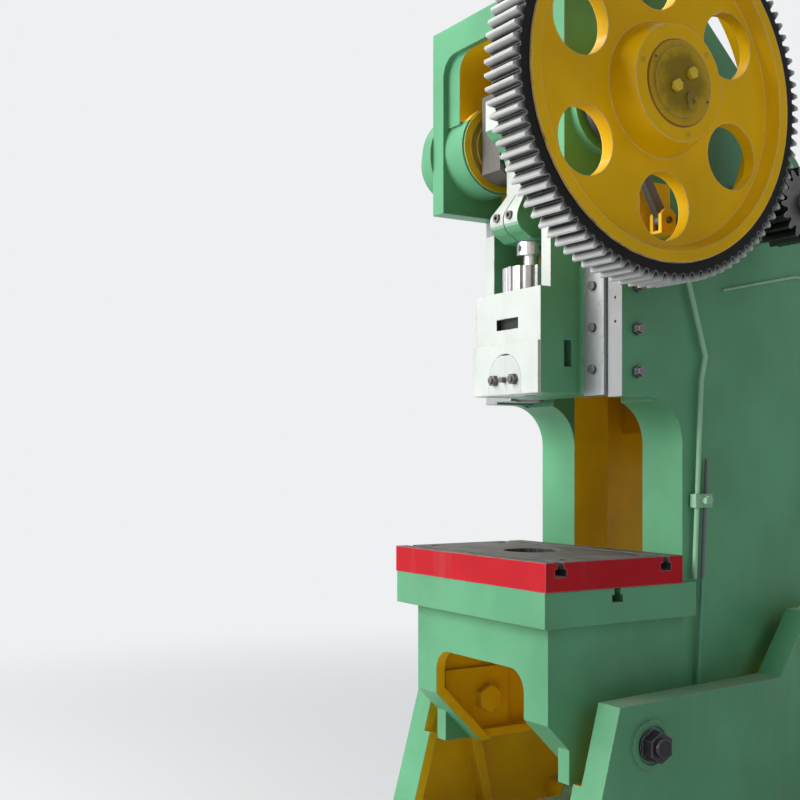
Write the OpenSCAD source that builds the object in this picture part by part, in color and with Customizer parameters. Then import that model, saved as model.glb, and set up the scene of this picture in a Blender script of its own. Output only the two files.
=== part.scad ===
// Open-back inclinable mechanical stamping press with an exposed spur gear drive.
// X runs across the press, towards the gear on the operator's right, Y from front to back, and Z up.
// The origin lies on the floor, at the centre of the four anchor holes.

/* [Layout] */
// Distance from the anchor centre forward to the ram axis
ram_forward = 350; // [320:5:380]
// Height of the crankshaft axis above the floor
crank_z = 2162; // [2150:1:2180]
// Crank throw, half of the slide's stroke
crank_throw = 50; // [40:1:55]
// Running gap between curved faces of different bodies
run_gap = 0.4; // [0.3:0.05:0.6]
// Radial gap of a shaft in its bore
fit_gap = 0.05; // [0.02:0.01:0.09]

/* [Frame casting] */
// Width across the side plates
frame_w = 612; // [600:2:616]
// Thickness of a side plate
side_t = 30; // [24:1:36]
// Thickness of the head and guide walls
head_wall_t = 55; // [50:1:58]
// Front of the head, forward of the ram axis
head_front = 136; // [130:1:145]
// Underside of the head above the floor
head_bottom_z = 1978; // [1970:1:1990]
// Top of the head above the floor
head_top_z = 2522; // [2500:1:2540]
// Front face of the guide walls, behind the ram axis
guide_front = 62; // [56:1:66]
// Front face of the two columns, behind the ram axis
column_front = 285; // [275:1:295]
// Depth of a column's front flange
column_flange_d = 138; // [120:1:150]
// Clear width between the two columns
column_gap = 300; // [280:2:310]
// Underside of the throat above the floor
throat_top_z = 1413; // [1405:1:1418]
// Radius of the throat's inner corner
throat_r = 125; // [100:5:140]
// Rear edge of the side plates, behind the ram axis
frame_rear = 830; // [810:5:850]
// Lowest edge of the frame above the floor
frame_bottom_z = 402; // [395:1:410]
// Front of the frame below the table, forward of the ram axis
body_front = 190; // [180:1:200]

/* [Table and bolster] */
// Top of the table above the floor
table_top_z = 910; // [900:1:920]
// Thickness of the table
table_t = 92; // [80:1:100]
// Width of the table
table_w = 702; // [680:2:702]
// Front edge of the table, forward of the ram axis
table_front = 236; // [230:1:240]
// Rear edge of the table, behind the ram axis
table_rear = 292; // [286:1:300]
// Width of the bolster
bolster_w = 710; // [700:2:720]
// Depth of the bolster
bolster_d = 474; // [460:2:476]
// Thickness of the bolster
bolster_t = 75; // [70:1:85]
// Diameter of the bolster's centre hole
bolster_hole_d = 160; // [120:5:180]
// Width of a T-slot's neck
slot_neck_w = 22; // [18:1:24]
// Width of a T-slot's head
slot_head_w = 38; // [34:1:42]
// Depth of a T-slot's neck
slot_neck_d = 18; // [16:1:22]
// Depth of a T-slot's head
slot_head_d = 20; // [16:1:24]

/* [Base] */
// Width across the outer faces of the legs
base_w = 892; // [884:2:900]
// Thickness of a leg's web
leg_web_t = 30; // [26:1:34]
// Width of a leg's upper flange
leg_flange_w = 81; // [70:1:85]
// Width of a leg's foot flange
leg_foot_w = 112; // [105:1:114]
// Thickness of a leg's flanges
leg_flange_t = 30; // [24:1:34]
// Height of a leg's front shoulder above the floor
leg_front_z = 622; // [615:1:630]
// Height of a leg's rear top above the floor
leg_rear_z = 815; // [800:1:830]
// Front of a foot, forward of the ram axis
foot_front = 200; // [190:1:210]
// Rear of a leg, behind the ram axis
leg_rear = 880; // [870:1:900]
// Height of the tilt pivot above the floor
pivot_z = 517; // [510:1:524]
// Tilt pivot, behind the ram axis
pivot_back = 30; // [24:1:36]
// Diameter of the tilt pivot bolts
pivot_d = 48; // [40:1:56]
// Largest backward tilt of the frame
tilt_max = 25; // [15:1:25]
// Spacing of the anchor holes across the press
anchor_pitch_x = 770; // [766:2:774]
// Spacing of the anchor holes from front to back
anchor_pitch_y = 900; // [880:10:920]
// Diameter of the anchor holes
anchor_d = 26; // [22:1:30]

/* [Gear drive] */
// Module of the gear teeth
gear_module = 10; // [10:1:10]
// Teeth on the large gear
gear_teeth = 94; // [90:1:96]
// Teeth on the pinion
pinion_teeth = 18; // [18:1:20]
// Face width of the large gear
gear_face_w = 110; // [100:1:116]
// Outer face of the large gear's teeth, from the press centre
gear_out_x = 538; // [530:1:545]
// Diameter of the six web holes
web_hole_d = 172; // [150:1:180]
// Radius of the circle of web holes
web_hole_r = 286; // [280:1:290]
// Thickness of the gear's web
web_t = 34; // [28:1:40]
// Diameter of the flywheel
flywheel_d = 640; // [600:5:660]
// Width of the flywheel
flywheel_w = 118; // [100:1:124]
// Diameter of the motor pulley
pulley_d = 160; // [140:5:180]
// Angle of the pinion below the crank's level
pinion_drop = 24; // [22:0.5:26]

/* [Crank and connecting rod] */
// Diameter of the main journals
journal_d = 130; // [120:1:136]
// Diameter of the crankpin
pin_d = 150; // [140:1:156]
// Width of the connecting rod's upper part
rod_w = 96; // [90:1:100]
// Width of the connecting rod's clamp
rod_clamp_w = 126; // [120:1:130]
// Outer radius of the connecting rod's big end
rod_big_r = 128; // [124:1:132]
// Diameter of the adjusting screw's thread
screw_d = 66; // [60:1:70]
// Diameter of the adjusting screw's neck
neck_d = 50; // [46:1:52]
// Diameter of the adjusting screw's ball
ball_d = 80; // [76:1:84]
// Height of the ball's centre above the floor at top dead centre
ball_z = 1690; // [1688:1:1692]

/* [Slide] */
// Width of the slide
slide_w = 298; // [290:2:300]
// Front face of the slide, forward of the ram axis
slide_front = 88; // [84:1:92]
// Underside of the slide above the floor at top dead centre
slide_bottom_z = 1426; // [1424:1:1430]
// Top of the slide's box above the floor at top dead centre
slide_top_z = 1717; // [1715:1:1720]
// Top of the slide's two posts above the floor at top dead centre
post_top_z = 1896; // [1880:1:1900]
// Diameter of the die shank hole
shank_d = 50; // [40:1:52]
// Depth of the die shank hole
shank_depth = 74; // [60:1:74]

/* [Hidden] */
$fn = 64;
ram_y = -ram_forward;
side_x = frame_w / 2;
side_in = side_x - side_t;
wall_in = side_x - head_wall_t;
gap_x = column_gap / 2;
leg_x = base_w / 2;
leg_in = leg_x - leg_web_t;
leg_flange_in = leg_x - leg_flange_w;
leg_foot_in = leg_x - leg_foot_w;
bolster_top_z = table_top_z + bolster_t;
jog_z = 415;
foot_block_h = 156;
foot_block_t = 10;
foot_block_rear = 123;

// Gear train: the pinion hangs behind and below the crank at the true centre distance.
gear_pitch_r = gear_module * gear_teeth / 2;
gear_tip_r = gear_pitch_r + gear_module;
gear_root_r = gear_pitch_r - 1.25 * gear_module;
centre_distance = gear_module * (gear_teeth + pinion_teeth) / 2;
pinion_y = centre_distance * cos(pinion_drop);
pinion_z = crank_z - centre_distance * sin(pinion_drop);
pressure_angle = 20;
gear_in_x = gear_out_x - gear_face_w;
gear_bore_d = 100;
hub_face_x = gear_out_x + 40;
hub_r = 143;
rim_r = gear_root_r - 27;
rim_in_r = 398;
shaft_d = 75;
flywheel_in_x = 350;
groove_count = 4;
groove_pitch = 19;
motor_y = 972;
motor_z = 1480;
belt_t = 11;

// Crank and rod.
pin_z = crank_z + crank_throw;
cheek_in = rod_w / 2 + 4;
cheek_out = 137;
bush_in = 144;
inner_boss_r = 130;
rib_in = 193;
rod_lip_z = 1863;
rod_cap_r = 114;
rod_cap_h = 46;
rod_clamp_z = 1935;
rod_neck_z = 1979;
collar_r = 44;
collar_h = 38;
cap_r = 83;
ball_play = 11;
ball_floor_z = ball_z - ball_d / 2 - ball_play - 13;
slide_rear = 178;
wing_x = 165;
vee_y = 114;
vee_depth = 45;
lower_front = 97;
lower_step_z = slide_bottom_z + 143;
post_front = 53;
post_w = 40;
knock_slot_w = 27;
knock_slot_y = 8;
clamp_split = 18;
gib_bottom_z = throat_top_z + 6;
gib_h = 465;

// Tilt clamp: a bolt on each side of the frame rides in an arc slot of the leg.
clamp_back = 700;
clamp_z = 700;
clamp_r = norm([clamp_back - pivot_back, clamp_z - pivot_z]);
clamp_angle = atan2(clamp_z - pivot_z, clamp_back - pivot_back);
clamp_bolt_d = 30;

tie_back = -60;
tie_z = 86;
treadle_back = 420;
treadle_z = 150;
rod_x = 322;
pull_d = 14;

// Everything below is drawn from the ram axis.
module from_ram() { translate([0, ram_y, 0]) children(); }

// A profile drawn as [back, up], extruded across the press from x0 to x1.
module across(x0, x1) { translate([x0, 0, 0]) rotate([90, 0, 90]) linear_extrude(x1 - x0) children(); }

// A round bar along X.
module bar_x(x0, x1, back, up, r) { translate([x0, back, up]) rotate([0, 90, 0]) cylinder(h = x1 - x0, r = r); }

// A round bar along Y.
module bar_y(x, y0, y1, up, r) { translate([x, y0, up]) rotate([-90, 0, 0]) cylinder(h = y1 - y0, r = r); }

// A box given by its two corners.
module block(low, high) { translate(low) cube(high - low); }

// The same shape on both sides of the press.
module both_sides() { children(); mirror([1, 0, 0]) children(); }

// A hexagon along X, across flats w.
module hex_x(x0, x1, back, up, w) {
    translate([x0, back, up]) rotate([0, 90, 0]) cylinder(h = x1 - x0, r = w / sqrt(3), $fn = 6);
}

// A hexagon along Y, across flats w.
module hex_y(x, y0, y1, up, w) {
    translate([x, y0, up]) rotate([-90, 0, 0]) cylinder(h = y1 - y0, r = w / sqrt(3), $fn = 6);
}

// Corner points of a counter-clockwise outline, moved inwards by d.
function unit(v) = v / norm(v);
function left_of(v) = [-v[1], v[0]];
function inset(p, d) = [for (i = [0:len(p) - 1])
    let (a = p[(i + len(p) - 1) % len(p)], b = p[i], c = p[(i + 1) % len(p)],
         u = left_of(unit(b - a)), v = left_of(unit(c - b)))
    b + d * (u + v) / (1 + u * v)];

// Points of an arc, from angle a0 to a1.
function arc(c, r, a0, a1, n) = [for (i = [0:n]) c + r * [cos(a0 + (a1 - a0) * i / n), sin(a0 + (a1 - a0) * i / n)]];

// Involute spur gear outline: each flank is the involute of the base circle,
// thinned by `thin` at the pitch circle to leave backlash.
function inv_angle(r, rb) = r <= rb ? 0 : sqrt(pow(r / rb, 2) - 1) * 180 / PI - acos(rb / r);
function flank_angle(r, rp, rb, z, thin) =
    90 / z - thin / rp * 90 / PI + inv_angle(rp, rb) - inv_angle(r, rb);
function tooth_points(m, z, thin, i) =
    let (rp = m * z / 2, rb = rp * cos(pressure_angle), root = rp - 1.25 * m, tip = rp + m,
         low = max(root + 0.3 * m, rb),
         radii = [root, low, (low + rp) / 2, rp, rp + 0.5 * m, tip],
         mid = 360 * i / z)
    concat(
        [for (k = [0:5]) let (t = mid - (k == 0 ? flank_angle(low, rp, rb, z, thin) + 0.6 * 18 / z
            : flank_angle(radii[k], rp, rb, z, thin))) radii[k] * [cos(t), sin(t)]],
        [for (k = [5:-1:0]) let (t = mid + (k == 0 ? flank_angle(low, rp, rb, z, thin) + 0.6 * 18 / z
            : flank_angle(radii[k], rp, rb, z, thin))) radii[k] * [cos(t), sin(t)]]);
module gear_outline(m, z, thin) {
    polygon([for (i = [0:z - 1]) each tooth_points(m, z, thin, i)]);
}

// One leg of the base, drawn on the right. Its web stands outside and its flanges turn inwards.
leg_outline = [[-foot_front, 0], [leg_rear, 0], [leg_rear, leg_rear_z], [640, leg_rear_z], [520, 640],
    [-72, leg_front_z], [-foot_front, foot_block_h + 4]];
leg_rib_top = [30, pivot_z - 40];
leg_rib_foot = [140, 20];
module leg_solid() {
    inner = inset(leg_outline, leg_flange_t);
    difference() {
        union() {
            across(leg_in, leg_x) polygon(leg_outline);
            across(leg_flange_in, leg_x) difference() {
                polygon(leg_outline);
                polygon(inner);
            }
            across(leg_foot_in, leg_x) intersection() {
                difference() {
                    polygon(leg_outline);
                    polygon(inner);
                }
                polygon([[-foot_front - 1, -1], [-30, -1], [-30, jog_z - 30], [-134, jog_z], [-foot_front - 1, jog_z]]);
            }
            across(leg_foot_in, leg_x) square([leg_rear, leg_flange_t + 8]);
            across(leg_foot_in, leg_x) translate([-foot_front, 0]) square([foot_front, leg_flange_t + 8]);
            across(leg_x - 1, leg_x + foot_block_t) polygon([[-foot_front, 0], [foot_block_rear, 0],
                [foot_block_rear, foot_block_h], [-foot_front, foot_block_h]]);
            across(leg_flange_in + 10, leg_in + 1) polygon([leg_rib_top, leg_rib_top + [34, 0],
                leg_rib_foot + [34, 0], leg_rib_foot]);
            across(leg_flange_in + 10, leg_in + 1) translate([480, 20]) square([26, 600]);
            bar_x(side_x + 0.5, leg_x + 8, pivot_back, pivot_z, 64);
        }
        bar_x(leg_x + 3, leg_x + 9, pivot_back, pivot_z, 50);
        bar_x(side_x, leg_x + 9, pivot_back, pivot_z, pivot_d / 2 + fit_gap);
        bar_x(leg_in - 1, leg_x + foot_block_t + 1, tie_back, tie_z, 12.5);
        across(leg_in - 1, leg_x + 1) translate([pivot_back, pivot_z]) arc_slot();
        for (y = [-1, 1]) translate([anchor_pitch_x / 2, ram_forward + y * anchor_pitch_y / 2, -1])
            cylinder(h = leg_flange_t + 10, r = anchor_d / 2);
        bar_x(leg_foot_in - 1, leg_in - 10, treadle_back, treadle_z, 15 + fit_gap);
    }
    difference() {
        bar_x(leg_foot_in + 6, leg_in + 1, treadle_back, treadle_z, 34);
        bar_x(leg_foot_in - 1, leg_in - 10, treadle_back, treadle_z, 15 + fit_gap);
    }
}

// The slot that the tilt clamp bolt travels along, about the pivot at the origin.
function slot_end(a, w, start) = [for (i = [1:11]) clamp_r * [cos(a), sin(a)] + w * [cos(start + 15 * i), sin(start + 15 * i)]];
module arc_slot() {
    w = clamp_bolt_d / 2 + 1;
    low = clamp_angle - tilt_max;
    polygon(concat(arc([0, 0], clamp_r + w, low, clamp_angle, 24), slot_end(clamp_angle, w, clamp_angle),
        arc([0, 0], clamp_r - w, clamp_angle, low, 24), slot_end(low, w, low + 180)));
}

module right_leg() { color("mediumseagreen") from_ram() leg_solid(); }
module left_leg() { color("mediumseagreen") from_ram() mirror([1, 0, 0]) leg_solid(); }

// Low cross bar between the feet, at the front.
module base_front_bar() {
    color("goldenrod") from_ram() block([-leg_foot_in, -foot_front + 12, 0], [leg_foot_in, -foot_front + 42, 60]);
}

// Cross plate between the legs, at the back.
module base_rear_plate() {
    color("goldenrod") from_ram() difference() {
        block([-leg_flange_in, leg_rear - 30, leg_flange_t + 8], [leg_flange_in, leg_rear, 260]);
        for (x = [-160, 160]) bar_y(x, leg_rear - 31, leg_rear + 1, 150, 60);
    }
}

// Round tie bar between the legs, with a shoulder against each web.
module tie_bar() {
    color("mediumaquamarine") from_ram() difference() {
        bar_x(-leg_in, leg_in, tie_back, tie_z, 25);
        both_sides() bar_x(leg_in - 50, leg_in + 1, tie_back, tie_z, 12);
    }
}
module tie_bolts() {
    color("dimgray") from_ram() both_sides() union() {
        bar_x(leg_in - 49, leg_x + foot_block_t + 1, tie_back, tie_z, 12);
        hex_x(leg_x + foot_block_t, leg_x + foot_block_t + 15, tie_back, tie_z, 36);
    }
}

// Tilt pivots: a hexagon head inside the frame, a plain shank through frame and leg, and a stud end.
pivot_head_x = side_in - 14;
module pivot_bolts() {
    color("goldenrod") from_ram() both_sides() union() {
        bar_x(pivot_head_x - 1, leg_x + 52, pivot_back, pivot_z, pivot_d / 2);
        hex_x(pivot_head_x - 26, pivot_head_x, pivot_back, pivot_z, 74);
    }
}
module pivot_nuts() {
    color("#2b2230") from_ram() both_sides() difference() {
        union() {
            bar_x(leg_x + 3, leg_x + 9, pivot_back, pivot_z, 42);
            hex_x(leg_x + 9, leg_x + 42, pivot_back, pivot_z, 70);
        }
        bar_x(leg_x + 2, leg_x + 43, pivot_back, pivot_z, pivot_d / 2 + fit_gap);
    }
}

// Foot treadle: two arms on a shaft at the back, a cross bar and a chequered pedal in front.
treadle_arm_x = 292;
module treadle() {
    pedal_y = -foot_front + 20;
    color("mediumaquamarine") from_ram() difference() {
        union() {
            both_sides() block([treadle_arm_x - 12, pedal_y, treadle_z - 10], [treadle_arm_x, treadle_back, treadle_z + 12]);
            both_sides() bar_x(treadle_arm_x - 24, leg_foot_in + 5.5, treadle_back, treadle_z, 28);
            block([-treadle_arm_x, pedal_y, treadle_z - 10], [treadle_arm_x, pedal_y + 26, treadle_z + 12]);
            block([-treadle_arm_x + 20, pedal_y - 74, treadle_z + 12], [-90, pedal_y + 40, treadle_z + 20]);
            block([treadle_arm_x - 1, 296, treadle_z - 10], [rod_x + 8, 318, treadle_z + 12]);
        }
        bar_x(-leg_foot_in - 6, leg_foot_in + 6, treadle_back, treadle_z, 15 + fit_gap);
    }
}
module treadle_shaft() {
    color("gray") from_ram() bar_x(-leg_in + 10, leg_in - 10, treadle_back, treadle_z, 15);
}

// The frame is one casting: side plates with flanges turned inwards, table, throat and head.
module throat_shape(front) {
    difference() {
        polygon([[column_front, table_top_z - 1], [column_front + column_flange_d, table_top_z - 1],
            [column_front + column_flange_d, throat_top_z + 60], [340, throat_top_z + 200], [340, head_bottom_z + 10],
            [front, head_bottom_z + 10], [front, throat_top_z - throat_r], [column_front, throat_top_z - throat_r]]);
        translate([column_front - throat_r, throat_top_z - throat_r]) circle(r = throat_r, $fn = 96);
        translate([front - 1, throat_top_z - throat_r - 1]) square([column_front - throat_r - front + 1, throat_r + 1]);
    }
}
module frame_side() {
    front_flange = 26;
    difference() {
        union() {
            across(side_in, side_x) frame_profile();
            // thick guide and head walls
            across(wall_in, side_x) translate([guide_front, throat_top_z]) square([140, head_bottom_z - throat_top_z + 1]);
            across(wall_in, side_x) translate([-head_front, head_bottom_z]) square([466, head_top_z - head_bottom_z]);
            // front flange of the column, carried round the throat and up behind the slide
            across(gap_x, side_x) throat_shape(202);
            // front flange below the table and down the slanting edge
            across(front_flange_in, side_x) polygon([[-body_front, 562], [-30, frame_bottom_z], [-30 + 40, frame_bottom_z],
                [-body_front + 30, 574], [-body_front + 30, 830], [-body_front, 830]]);
            // bottom, rear and top edges turned in
            across(side_in - 45, side_x) polygon([[-30, frame_bottom_z], [300, frame_bottom_z], [620, 560], [frame_rear, 900],
                [frame_rear, 2040], [760, 2130], [330, head_top_z], [330, head_top_z - 34], [742, 2106],
                [frame_rear - 26, 2024], [frame_rear - 26, 908], [602, 582], [293, frame_bottom_z + front_flange],
                [-30, frame_bottom_z + front_flange]]);
            // pad round the tilt pivot
            across(side_in - 14, side_x) translate([-120, frame_bottom_z]) square([234, 210]);
            // crank bearing boss, inner and outer
            bar_x(162, side_x, 0, crank_z, inner_boss_r);
            bar_x(156, 163, 0, crank_z, inner_boss_r - 5);
            bar_x(side_x - 1, side_x + 24, 0, crank_z, 118);
            // thick rib above the bearing, up to the arched top
            across(rib_in, side_x) translate([-117, crank_z + 70]) square([417, head_top_z - 40 - crank_z - 70]);
            // intermediate shaft boss
            bar_x(side_in - 30, side_x + 10, pinion_y, pinion_z, 100);
            // tilt clamp pad
            bar_x(side_in - 10, leg_in - 0.5, clamp_back, clamp_z, 45);
        }
        bar_x(155, side_x + 60, 0, crank_z, 80.05);
        bar_x(side_in - 40, side_x + 20, pinion_y, pinion_z, 62.05);
        bar_x(side_in - 20, side_x + 1, pivot_back, pivot_z, pivot_d / 2 + fit_gap);
        bar_x(side_in - 20, leg_in + 1, clamp_back, clamp_z, clamp_bolt_d / 2 + 0.1);
        bar_x(side_in - 46, side_in - 10, clamp_back, clamp_z, 36);
        for (z = gib_screw_z) bar_x(wall_in - 1, side_x + 1, vee_y, z, 10.2);
        for (z = [1615, 1679, 1747]) bar_y(280, guide_front - 1, guide_front + 20, z, 4);
    }
}
front_flange_in = 207;
gib_screw_z = [1480, 1595, 1710, 1825];
keeper_bolt_x = 204;
keeper_bolt_z = [1491, 1605, 1719, 1833];
module frame_profile() {
    difference() {
        polygon([[-body_front, 562], [-30, frame_bottom_z], [300, frame_bottom_z], [620, 560], [frame_rear, 900],
            [frame_rear, 2040], [760, 2130], [330, head_top_z], [-head_front, head_top_z],
            [-head_front, head_bottom_z], [guide_front, head_bottom_z], [guide_front, throat_top_z - throat_r],
            [column_front, throat_top_z - throat_r], [column_front, table_top_z], [-body_front, table_top_z]]);
        translate([column_front - throat_r, throat_top_z - throat_r]) circle(r = throat_r, $fn = 96);
        translate([guide_front - 1, throat_top_z - throat_r - 1])
            square([column_front - throat_r - guide_front + 1, throat_r + 1]);
    }
}
module frame() {
    table_bottom = table_top_z - table_t;
    arch_r = 60;
    color("mediumseagreen") from_ram() difference() {
        union() {
            both_sides() frame_side();
            // round end of the left crank bearing, outside
            difference() {
                union() {
                    bar_x(-side_x - 44, -side_x + 1, 0, crank_z, 147);
                    bar_x(-side_x - 50, -side_x - 43, 0, crank_z, 141);
                }
                bar_x(-side_x - 51, -side_x + 2, 0, crank_z, 80.05);
            }
            // table
            block([-table_w / 2, -table_front, table_bottom], [table_w / 2, table_rear, table_top_z]);
            // apron below the table, with a rounded window corner on each side
            block([-side_x, -body_front, 690], [side_x, -body_front + 30, table_bottom + 1]);
            both_sides() translate([0, -body_front, 0]) rotate([90, 0, 0]) translate([0, 0, -30]) linear_extrude(30)
                difference() {
                    translate([front_flange_in - arch_r, 691 - arch_r]) square(arch_r + 1);
                    translate([front_flange_in - arch_r, 690 - arch_r]) circle(r = arch_r);
                }
            // rear wall under the table
            block([-side_in - 1, 255, frame_bottom_z], [side_in + 1, 285, table_bottom + 1]);
            // cross walls behind the throat
            block([-side_in - 1, 600, 1330], [side_in + 1, 628, 1900]);
            block([-side_in - 1, 330, 1500], [side_in + 1, 360, head_bottom_z]);
            // head: top plate with arched corners, and a rear wall
            block([-side_x, -head_front, head_top_z - 84], [side_x, 330, head_top_z]);
            both_sides() translate([0, -head_front, 0]) rotate([90, 0, 0]) translate([0, 0, -400]) linear_extrude(400)
                difference() {
                    translate([wall_in - arch_r, head_top_z - 84 - arch_r]) square(arch_r + 1);
                    translate([wall_in - arch_r, head_top_z - 84 - arch_r]) circle(r = arch_r);
                }
            both_sides() translate([0, -117, 0]) rotate([90, 0, 0]) translate([0, 0, -420]) linear_extrude(420)
                difference() {
                    translate([rib_in - arch_r, head_top_z - 84 - arch_r]) square(arch_r + 1);
                    translate([rib_in - arch_r, head_top_z - 84 - arch_r]) circle(r = arch_r);
                }
            block([-side_in - 1, 300, head_bottom_z - 1], [side_in + 1, 330, head_top_z - 1]);
        }
        translate([0, 0, table_bottom - 1]) cylinder(h = table_t + 2, r = bolster_hole_d / 2 + 20);
        tee_slot(table_w / 2, 6, table_top_z);
        both_sides() for (y = bolster_screw_y) translate([bolster_screw_x, y, table_bottom + 20])
            cylinder(h = table_t, r = 10);
    }
}

// A T-slot along X, cut down from the face at height z.
module tee_slot(half_length, back, z) {
    rotate([90, 0, 90]) translate([0, 0, -half_length - 1]) linear_extrude(2 * half_length + 2)
        translate([back, z]) {
            translate([-slot_neck_w / 2, -slot_neck_d - 1]) square([slot_neck_w, slot_neck_d + 2]);
            translate([-slot_head_w / 2, -slot_neck_d - slot_head_d]) square([slot_head_w, slot_head_d]);
        }
}
bolster_slot_y = [-188, 175];
bolster_screw_x = 300;
bolster_screw_y = [-130, 120];
module bolster() {
    color("crimson") from_ram() difference() {
        block([-bolster_w / 2, -bolster_d / 2, table_top_z], [bolster_w / 2, bolster_d / 2, bolster_top_z]);
        translate([0, 0, table_top_z - 1]) cylinder(h = bolster_t + 2, r = bolster_hole_d / 2);
        for (y = bolster_slot_y) tee_slot(bolster_w / 2, y, bolster_top_z);
        both_sides() for (y = bolster_screw_y) translate([bolster_screw_x, y, table_top_z - 1]) {
            cylinder(h = bolster_t + 2, r = 10.5);
            translate([0, 0, bolster_t - 21]) cylinder(h = 30, r = 16);
        }
    }
}
module bolster_screws() {
    color("dimgray") from_ram() both_sides() for (y = bolster_screw_y) translate([bolster_screw_x, y, 0])
        difference() {
            union() {
                translate([0, 0, table_top_z - 50]) cylinder(h = bolster_t + 32, r = 10);
                translate([0, 0, bolster_top_z - 22]) cylinder(h = 20, r = 15);
            }
            translate([0, 0, bolster_top_z - 12]) cylinder(h = 30, r = 8.5, $fn = 6);
        }
}

// Guide rails: bronze-faced bars with a V groove for the slide's wings.
gib_rear = guide_front + 116;
keeper_t = 12;
keeper_out_x = 247;
module gib_section(front, rear, inner, outer, depth) {
    polygon([[inner, front], [outer, front], [outer, rear], [inner, rear], [inner, vee_y + depth],
        [inner + depth, vee_y], [inner, vee_y - depth]]);
}
module gib(outer) {
    difference() {
        translate([0, 0, gib_bottom_z]) linear_extrude(gib_h)
            gib_section(guide_front, gib_rear, wing_x + run_gap, outer, vee_depth);
        for (z = keeper_bolt_z) bar_y(keeper_bolt_x, guide_front - 1, guide_front + 33, z, 9.1);
    }
}
module right_gib() { color("silver") from_ram() gib(wall_in - 4); }
module left_gib() { color("silver") from_ram() mirror([1, 0, 0]) gib(wall_in); }
module keeper() {
    translate([0, 0, gib_bottom_z]) linear_extrude(gib_h)
        translate([wing_x + run_gap, guide_front - keeper_t]) square([keeper_out_x - wing_x - run_gap, keeper_t]);
}
module right_keeper() { color("lightgray") from_ram() keeper_drilled(); }
module left_keeper() { color("lightgray") from_ram() mirror([1, 0, 0]) keeper_drilled(); }
module keeper_drilled() {
    difference() {
        keeper();
        for (z = keeper_bolt_z) bar_y(keeper_bolt_x, guide_front - 20, guide_front + 5, z, 9.1);
    }
}
module keeper_bolts() {
    color("dimgray") from_ram() both_sides() for (z = keeper_bolt_z) {
        bar_y(keeper_bolt_x, guide_front - keeper_t - 9, guide_front - keeper_t, z, 13);
        bar_y(keeper_bolt_x, guide_front - keeper_t - 1, guide_front + 32, z, 9);
    }
}
module gib_screws() {
    color("#2b2b2e") from_ram() for (z = gib_screw_z) {
        bar_x(wall_in - 4, side_x + 12, vee_y, z, 10);
        hex_x(side_x, side_x + 12, vee_y, z, 30);
        hex_x(side_x + 12, side_x + 24, vee_y, z, 24);
    }
}

// Flanged bronze bush of a crank bearing.
module crank_bush() {
    difference() {
        union() {
            bar_x(155, side_x + 24, 0, crank_z, 80);
            bar_x(bush_in, 150, 0, crank_z, 87);
            bar_x(149, 156, 0, crank_z, 107);
        }
        bar_x(bush_in - 1, side_x + 30, 0, crank_z, journal_d / 2 + fit_gap);
    }
}
module right_bush() { color("goldenrod") from_ram() crank_bush(); }
module left_bush() { color("goldenrod") from_ram() mirror([1, 0, 0]) crank_bush(); }

// Round housings that carry the intermediate shaft in the side plates.
housing_bolt_r = 80;
module shaft_housings() {
    color("mediumseagreen") from_ram() both_sides() difference() {
        union() {
            bar_x(side_in - 30, side_x + 10, pinion_y, pinion_z, 62);
            bar_x(side_x + 10, side_x + 26, pinion_y, pinion_z, 96);
        }
        bar_x(side_in - 31, side_x + 27, pinion_y, pinion_z, shaft_d / 2 + fit_gap);
        for (a = [45:90:359]) bar_x(side_x + 9, side_x + 27, pinion_y + housing_bolt_r * cos(a),
            pinion_z + housing_bolt_r * sin(a), 7.1);
    }
}
module housing_bolts() {
    color("dimgray") from_ram() both_sides() for (a = [45:90:359]) {
        back = pinion_y + housing_bolt_r * cos(a);
        up = pinion_z + housing_bolt_r * sin(a);
        bar_x(side_x + 10, side_x + 27, back, up, 7);
        hex_x(side_x + 26, side_x + 35, back, up, 21);
    }
}

// Tilt clamp: stud through the frame pad and the leg's arc slot, with washer and nut outside.
module tilt_clamp_bolts() {
    color("dimgray") from_ram() both_sides() union() {
        bar_x(side_in - 10, leg_x + 45, clamp_back, clamp_z, clamp_bolt_d / 2);
        hex_x(side_in - 30, side_in - 10, clamp_back, clamp_z, 46);
    }
}
module tilt_clamp_nuts() {
    color("#2b2230") from_ram() both_sides() difference() {
        union() {
            bar_x(leg_x + 0.5, leg_x + 8, clamp_back, clamp_z, 32);
            hex_x(leg_x + 8, leg_x + 32, clamp_back, clamp_z, 46);
        }
        bar_x(leg_x, leg_x + 33, clamp_back, clamp_z, clamp_bolt_d / 2 + 0.05);
    }
}

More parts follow.
